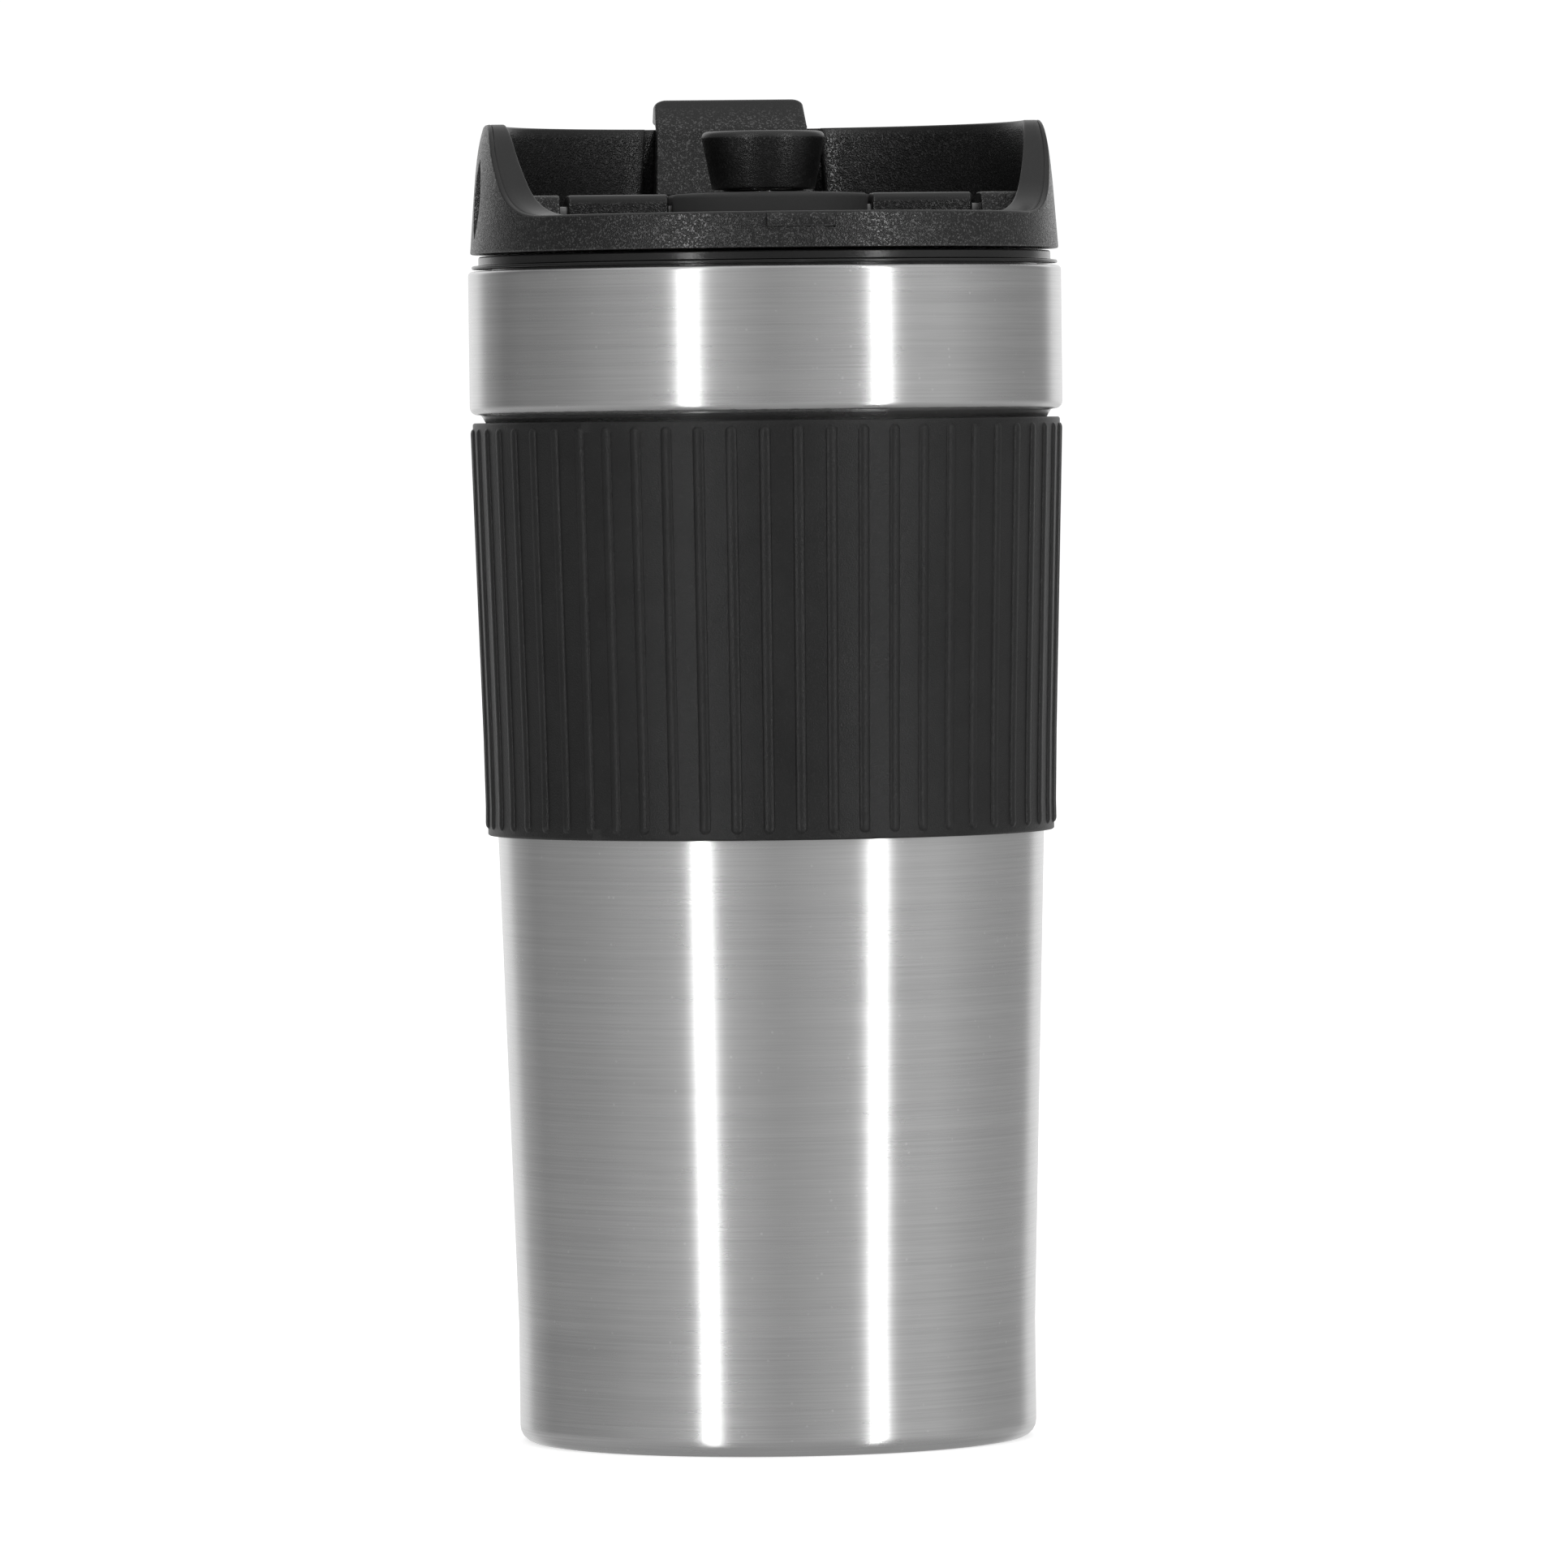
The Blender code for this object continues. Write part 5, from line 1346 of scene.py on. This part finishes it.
@dataclass(frozen=True)
class DrinkingFlap:
    """Forked flap with two knuckles and a thumb tab, in millimetres.

    Attributes:
        low: Height of the plate's underside.
        high: Height of its top.
        arm_x: Half the width over the arms.
        radius: Radius of its back edge.
        opening: Radius of the opening around the boss.
        front_y: Where the arms end in front.
        hinge_y: Place of the hinge line from front to back.
        hinge_z: Height of the hinge line.
    """

    low: float = 163.6
    high: float = 166.4
    arm_x: float = 27.4
    radius: float = 34.7
    opening: float = 15.9
    front_y: float = -4.0
    hinge_y: float = -5.2
    hinge_z: float = 165.6

    def plate(self) -> Surface:
        """Flat fork: two arms, a round back edge and a round opening in front of it."""
        back_angle = math.degrees(math.acos(self.arm_x / self.radius))
        mouth_angle = math.degrees(math.asin(self.front_y / self.opening))
        outline = np.concatenate(
            [
                [(self.arm_x, self.front_y), (self.arm_x, self.front_y + 6.0)],
                arc((0.0, 0.0), self.radius, back_angle, 180.0 - back_angle, 96),
                [(-self.arm_x, self.front_y + 6.0), (-self.arm_x, self.front_y)],
                arc((0.0, 0.0), self.opening, 180.0 - mouth_angle, mouth_angle, 96),
            ]
        )
        return slab([outline * MM], self.low * MM, self.high * MM, 0.3 * MM, 0.5 * MM)

    def knuckle(self, side: int) -> Surface:
        """Block around the pin: a rounded square carried along the hinge."""
        y, z, half = self.hinge_y, self.hinge_z, 2.4
        square = [(y - half, z - half), (y + half, z - half), (y + half, z + half), (y - half, z + half)]
        outline = rounded([(*corner, 0.9) for corner in square])
        near, far = sorted((side * 13.75, side * self.arm_x))
        block = across(slab([outline], near * MM, far * MM, 0.5 * MM, 0.5 * MM))
        height = block.points[:, 2] / MM
        block.polish = smooth_step((height - (z + 1.2)) / 0.3)
        return block

    def tab(self) -> Surface:
        """Leaning tab: a section in (y, z) carried along x, narrowed upwards and bent to the wall.

        A point's x is scaled by half_width(z) / 11.2. Below the rim no point lies outside the circle
        that clears the pocket, so its y is at most the root of (36.5^2 - x^2).
        """
        top = 181.8
        outline = rounded(
            [
                (30.0, 163.9, 0.2),
                (36.5, 163.9, 0.2),
                (36.5, 178.35, 0.3),
                (39.8, 178.35, 0.5),
                (39.75, 181.0, 0.8),
                (38.4, top, 0.9),
                (37.4, top, 0.7),
                (34.4, 177.7, 3.0),
                (30.0, 166.4, 2.0),
            ],
            steps=7,
        )
        half = 11.2
        tab = across(slab([outline], -half * MM, half * MM, 0.6 * MM, 0.6 * MM, middle=12, steps=6))
        x, y, z = (tab.points / MM).T
        width = half - 0.95 * np.clip((z - 166.4) / (top - 166.4), 0.0, 1.0)
        over = np.clip(z - (top - 1.1), 0.0, 1.1)
        width = width - (1.1 - np.sqrt(1.1**2 - over**2))
        x = x * width / half
        below = z < 178.2
        y = np.where(below, np.minimum(y, np.sqrt(36.5**2 - x**2)), np.minimum(y, np.sqrt(39.85**2 - (0.75 * x) ** 2)))
        tab.points = np.stack([x, y, z], axis=1) * MM
        tab.polish = smooth_step((z - 179.3) / 0.3)
        return tab

    def build(self) -> None:
        """Make and dress the flap."""
        # Painted highlight: the polished tops of the knuckles and the tab take smooth_tone 0.01, lighter than their
        # tone 0.0045.
        plastic = MouldedPlastic(tone=0.0045, smooth_tone=0.01).material("flap_plastic")
        surface = self.plate().joined(self.knuckle(-1), self.knuckle(1), self.tab())
        place("flap", surface, plastic, "flap", ["drinking_flap"])


@dataclass(frozen=True)
class HingePins:
    """Two steel pins on the hinge line, in millimetres.

    Attributes:
        radius: Radius of a pin.
        inner: Distance of its inner end from the middle.
        outer: Distance of its outer end.
    """

    radius: float = 0.9
    inner: float = 11.15
    outer: float = 30.5

    def pin(self, side: int) -> Surface:
        """Round bar along x with chamfered ends."""
        near, far = sorted((side * self.inner, side * self.outer))
        outline = circle(self.radius, 40, centre=(-5.2, 165.6)) * MM
        return across(slab([outline], near * MM, far * MM, 0.15 * MM, 0.15 * MM, steps=3))

    def build(self) -> None:
        """Make and dress the pins."""
        # Painted shade: the pins' steel is given a dark tone of 0.16 so that they look shadowed in the gaps between
        # the knuckles and posts.
        steel = BrushedSteel(tone=0.16, roughness=0.4, contrast=0.08).material("pin_steel")
        for side, word in ((-1, "left"), (1, "right")):
            place(f"pin_{word}", self.pin(side), steel, "lid", [f"hinge_pin_{word}"])


class Seals:
    """The soft rings and pads, which keep their turned shapes."""

    def build(self) -> None:
        """Dress the seals."""
        silicone = SoftRubber(tone=0.09, bloom=0.14, roughness=0.55).material("seal_silicone")
        for node in ("lid_gasket", "rod_seal", "flap_seal"):
            dress(node, silicone)


def dress(node: str, material: bpy.types.Material) -> None:
    """Give a node that stays its own finish."""
    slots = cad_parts[node].data.materials
    slots.clear()
    slots.append(material)
    LOG.info("%s: keeps its shape, finish %s", node, material.name)


# ---- Light, floor and camera ----------------------------------------------------------------


@dataclass(frozen=True)
class Studio:
    """White room with two upright strip lights, a pale floor and a long lens.

    Attributes:
        azimuth: Angle of the camera around the mug, in degrees.
        distance: Distance of the camera from the mug's axis.
        height: Height of the camera.
        target_z: Height that it looks at.
        target_side: How far the target lies to the camera's right.
        lean: How far the camera is tilted about its line of sight, in degrees.
        lens: Focal length in millimetres.
        strip_left: Angle of the left strip, from the camera's direction, in degrees.
        strip_right: Angle of the right strip.
        strip_half: Half the angle that a strip covers.
        strip_power: Brightness of the strips.
    """

    azimuth: float = -7.1
    distance: float = 1.70
    height: float = 0.136
    target_z: float = 0.0884
    target_side: float = 0.0018
    lean: float = -0.69
    lens: float = 289.0
    strip_left: float = -30.0
    strip_right: float = 46.0
    strip_half: float = 1.0
    strip_power: float = 14.0

    def camera(self) -> None:
        """Place the camera and look through it."""
        turn_angle = math.radians(self.azimuth)
        toward = Vector((math.sin(turn_angle), -math.cos(turn_angle), 0.0))
        right = Vector((math.cos(turn_angle), math.sin(turn_angle), 0.0))
        data = bpy.data.cameras.new("camera")
        data.lens = self.lens
        data.sensor_width = 36.0
        data.clip_start = 0.05
        data.clip_end = 50.0
        camera = bpy.data.objects.new("camera", data)
        bpy.context.scene.collection.objects.link(camera)
        place_at = toward * self.distance + Vector((0.0, 0.0, self.height))
        target = Vector((0.0, 0.0, self.target_z)) + right * self.target_side
        facing = (target - place_at).to_track_quat("-Z", "Y").to_matrix().to_4x4()
        rolled = facing @ Matrix.Rotation(math.radians(self.lean), 4, "Z")
        camera.matrix_world = Matrix.Translation(place_at) @ rolled
        bpy.context.scene.camera = camera

    def levels(self) -> list[tuple[float, float]]:
        """Brightness of the room by angle from the camera's direction, in degrees."""
        return [
            (-180, 1.0), (-150, 1.0), (-140, 0.4), (-122, 0.16), (-110, 0.22), (-95, 0.25), (-80, 0.31),
            (-65, 0.42), (-54, 0.47), (-40, 0.6), (-20, 0.62), (-10, 0.5), (0, 0.385), (5, 0.385), (20, 0.5),
            (30, 0.58), (60, 0.64), (75, 0.66), (90, 0.5), (104, 0.39), (120, 0.33), (140, 0.32), (150, 1.0), (180, 1.0),
        ]  # fmt: skip

    def room(self) -> None:
        """Light the scene: brightness by angle around the mug, strips, a bright ceiling."""
        world = bpy.data.worlds.new("studio")
        bpy.context.scene.world = world
        world.use_nodes = True
        graph = Graph(world.node_tree)
        nodes = world.node_tree.nodes
        nodes.clear()
        turn_angle = math.radians(self.azimuth)
        direction = graph.node("TexCoord").outputs["Generated"]
        toward = (math.sin(turn_angle), -math.cos(turn_angle), 0.0)
        right = (math.cos(turn_angle), math.sin(turn_angle), 0.0)
        ahead = graph.node("VectorMath", {"operation": "DOT_PRODUCT"}, i0=direction, i1=toward).outputs["Value"]
        beside = graph.node("VectorMath", {"operation": "DOT_PRODUCT"}, i0=direction, i1=right).outputs["Value"]
        angle = graph.math("DEGREES", graph.math("ARCTAN2", beside, ahead))
        share = graph.math("DIVIDE", graph.math("ADD", angle, 180.0), 360.0)
        ramp = graph.node("ValToRGB", Fac=share)
        stops = self.levels()
        elements = ramp.color_ramp.elements
        elements[0].position, elements[1].position = 0.0, 1.0
        elements[0].color, elements[1].color = grey(stops[0][1]), grey(stops[-1][1])
        for at, level in stops[1:-1]:
            elements.new((at + 180.0) / 360.0).color = grey(level)
        climb = graph.node("SeparateXYZ", i0=direction).outputs["Z"]
        strips = None
        for middle in (self.strip_left, self.strip_right):
            off = graph.math("ABSOLUTE", graph.math("SUBTRACT", angle, middle))
            window = graph.ramp(off, self.strip_half + 1.0, self.strip_half - 0.8)
            strips = window if strips is None else graph.math("ADD", strips, window)
        tall = graph.math("MULTIPLY", graph.ramp(climb, 0.75, 0.5), graph.ramp(climb, -0.6, -0.4))
        strips = graph.math("MULTIPLY", graph.math("MULTIPLY", strips, tall), self.strip_power)
        ceiling = graph.ramp(climb, 0.45, 0.95)
        table = graph.ramp(climb, -0.03, -0.12, 0.0, 0.65)
        low = graph.mix(table, ramp.outputs[0], grey(0.68))
        low = graph.mix(graph.ramp(climb, -0.25, -0.5), low, grey(0.42))
        base = graph.mix(ceiling, low, grey(0.8))
        lit = graph.node("Mix", {"data_type": "RGBA", "blend_type": "ADD"})
        lit.inputs[0].default_value = 1.0
        graph.tree.links.new(base, lit.inputs[6])
        graph.tree.links.new(strips, lit.inputs[7])
        light = graph.node("Background", Color=lit.outputs[2], Strength=1.0).outputs[0]
        white = graph.node("Background", Color=grey(1.0), Strength=1.05).outputs[0]
        seen = graph.node("LightPath").outputs["Is Camera Ray"]
        shown = graph.node("MixShader", i0=seen, i1=light, i2=white).outputs[0]
        graph.node("OutputWorld", Surface=shown)

    def floor(self) -> None:
        """Lay a plain pale floor that shows as white."""
        side = 6.0
        corners = np.array([(-side, -side, 0.0), (side, -side, 0.0), (side, side, 0.0), (-side, side, 0.0)])
        mesh = bpy.data.meshes.new("floor")
        mesh.from_pydata(corners.tolist(), [], [(0, 1, 2, 3)])
        material, _, shader = new_material("floor_white")
        shader.inputs["Base Color"].default_value = grey(0.8)
        shader.inputs["Roughness"].default_value = 0.9
        shader.inputs["Specular IOR Level"].default_value = 0.0
        shader.inputs["Emission Color"].default_value = grey(1.0)
        shader.inputs["Emission Strength"].default_value = 0.62
        mesh.materials.append(material)
        floor = bpy.data.objects.new("floor", mesh)
        bpy.context.scene.collection.objects.link(floor)
        floor.visible_glossy = False

    def build(self) -> None:
        """Set the room, the floor, the camera and a plain view of the colours."""
        self.room()
        self.floor()
        self.camera()
        bpy.context.scene.view_settings.view_transform = "Standard"
        LOG.info("studio: camera at %.1f degrees, lens %.0f mm", self.azimuth, self.lens)


def main() -> None:
    """Build the effects, then each sub-assembly, then the studio."""
    logging.basicConfig(level=logging.INFO, format="%(name)s: %(message)s")
    for build_effect in (build_brushing, build_spark_grain, build_handling, build_edge_wear):
        build_effect()
    body = SteelBody()
    assemblies = (body, GripSleeve(body), ThreadCollar(), LidShell(), CentreBoss(), Plunger(), DrinkingFlap())
    for assembly in (*assemblies, HingePins(), Seals(), Studio()):
        assembly.build()


if __name__ == "__main__":
    main()
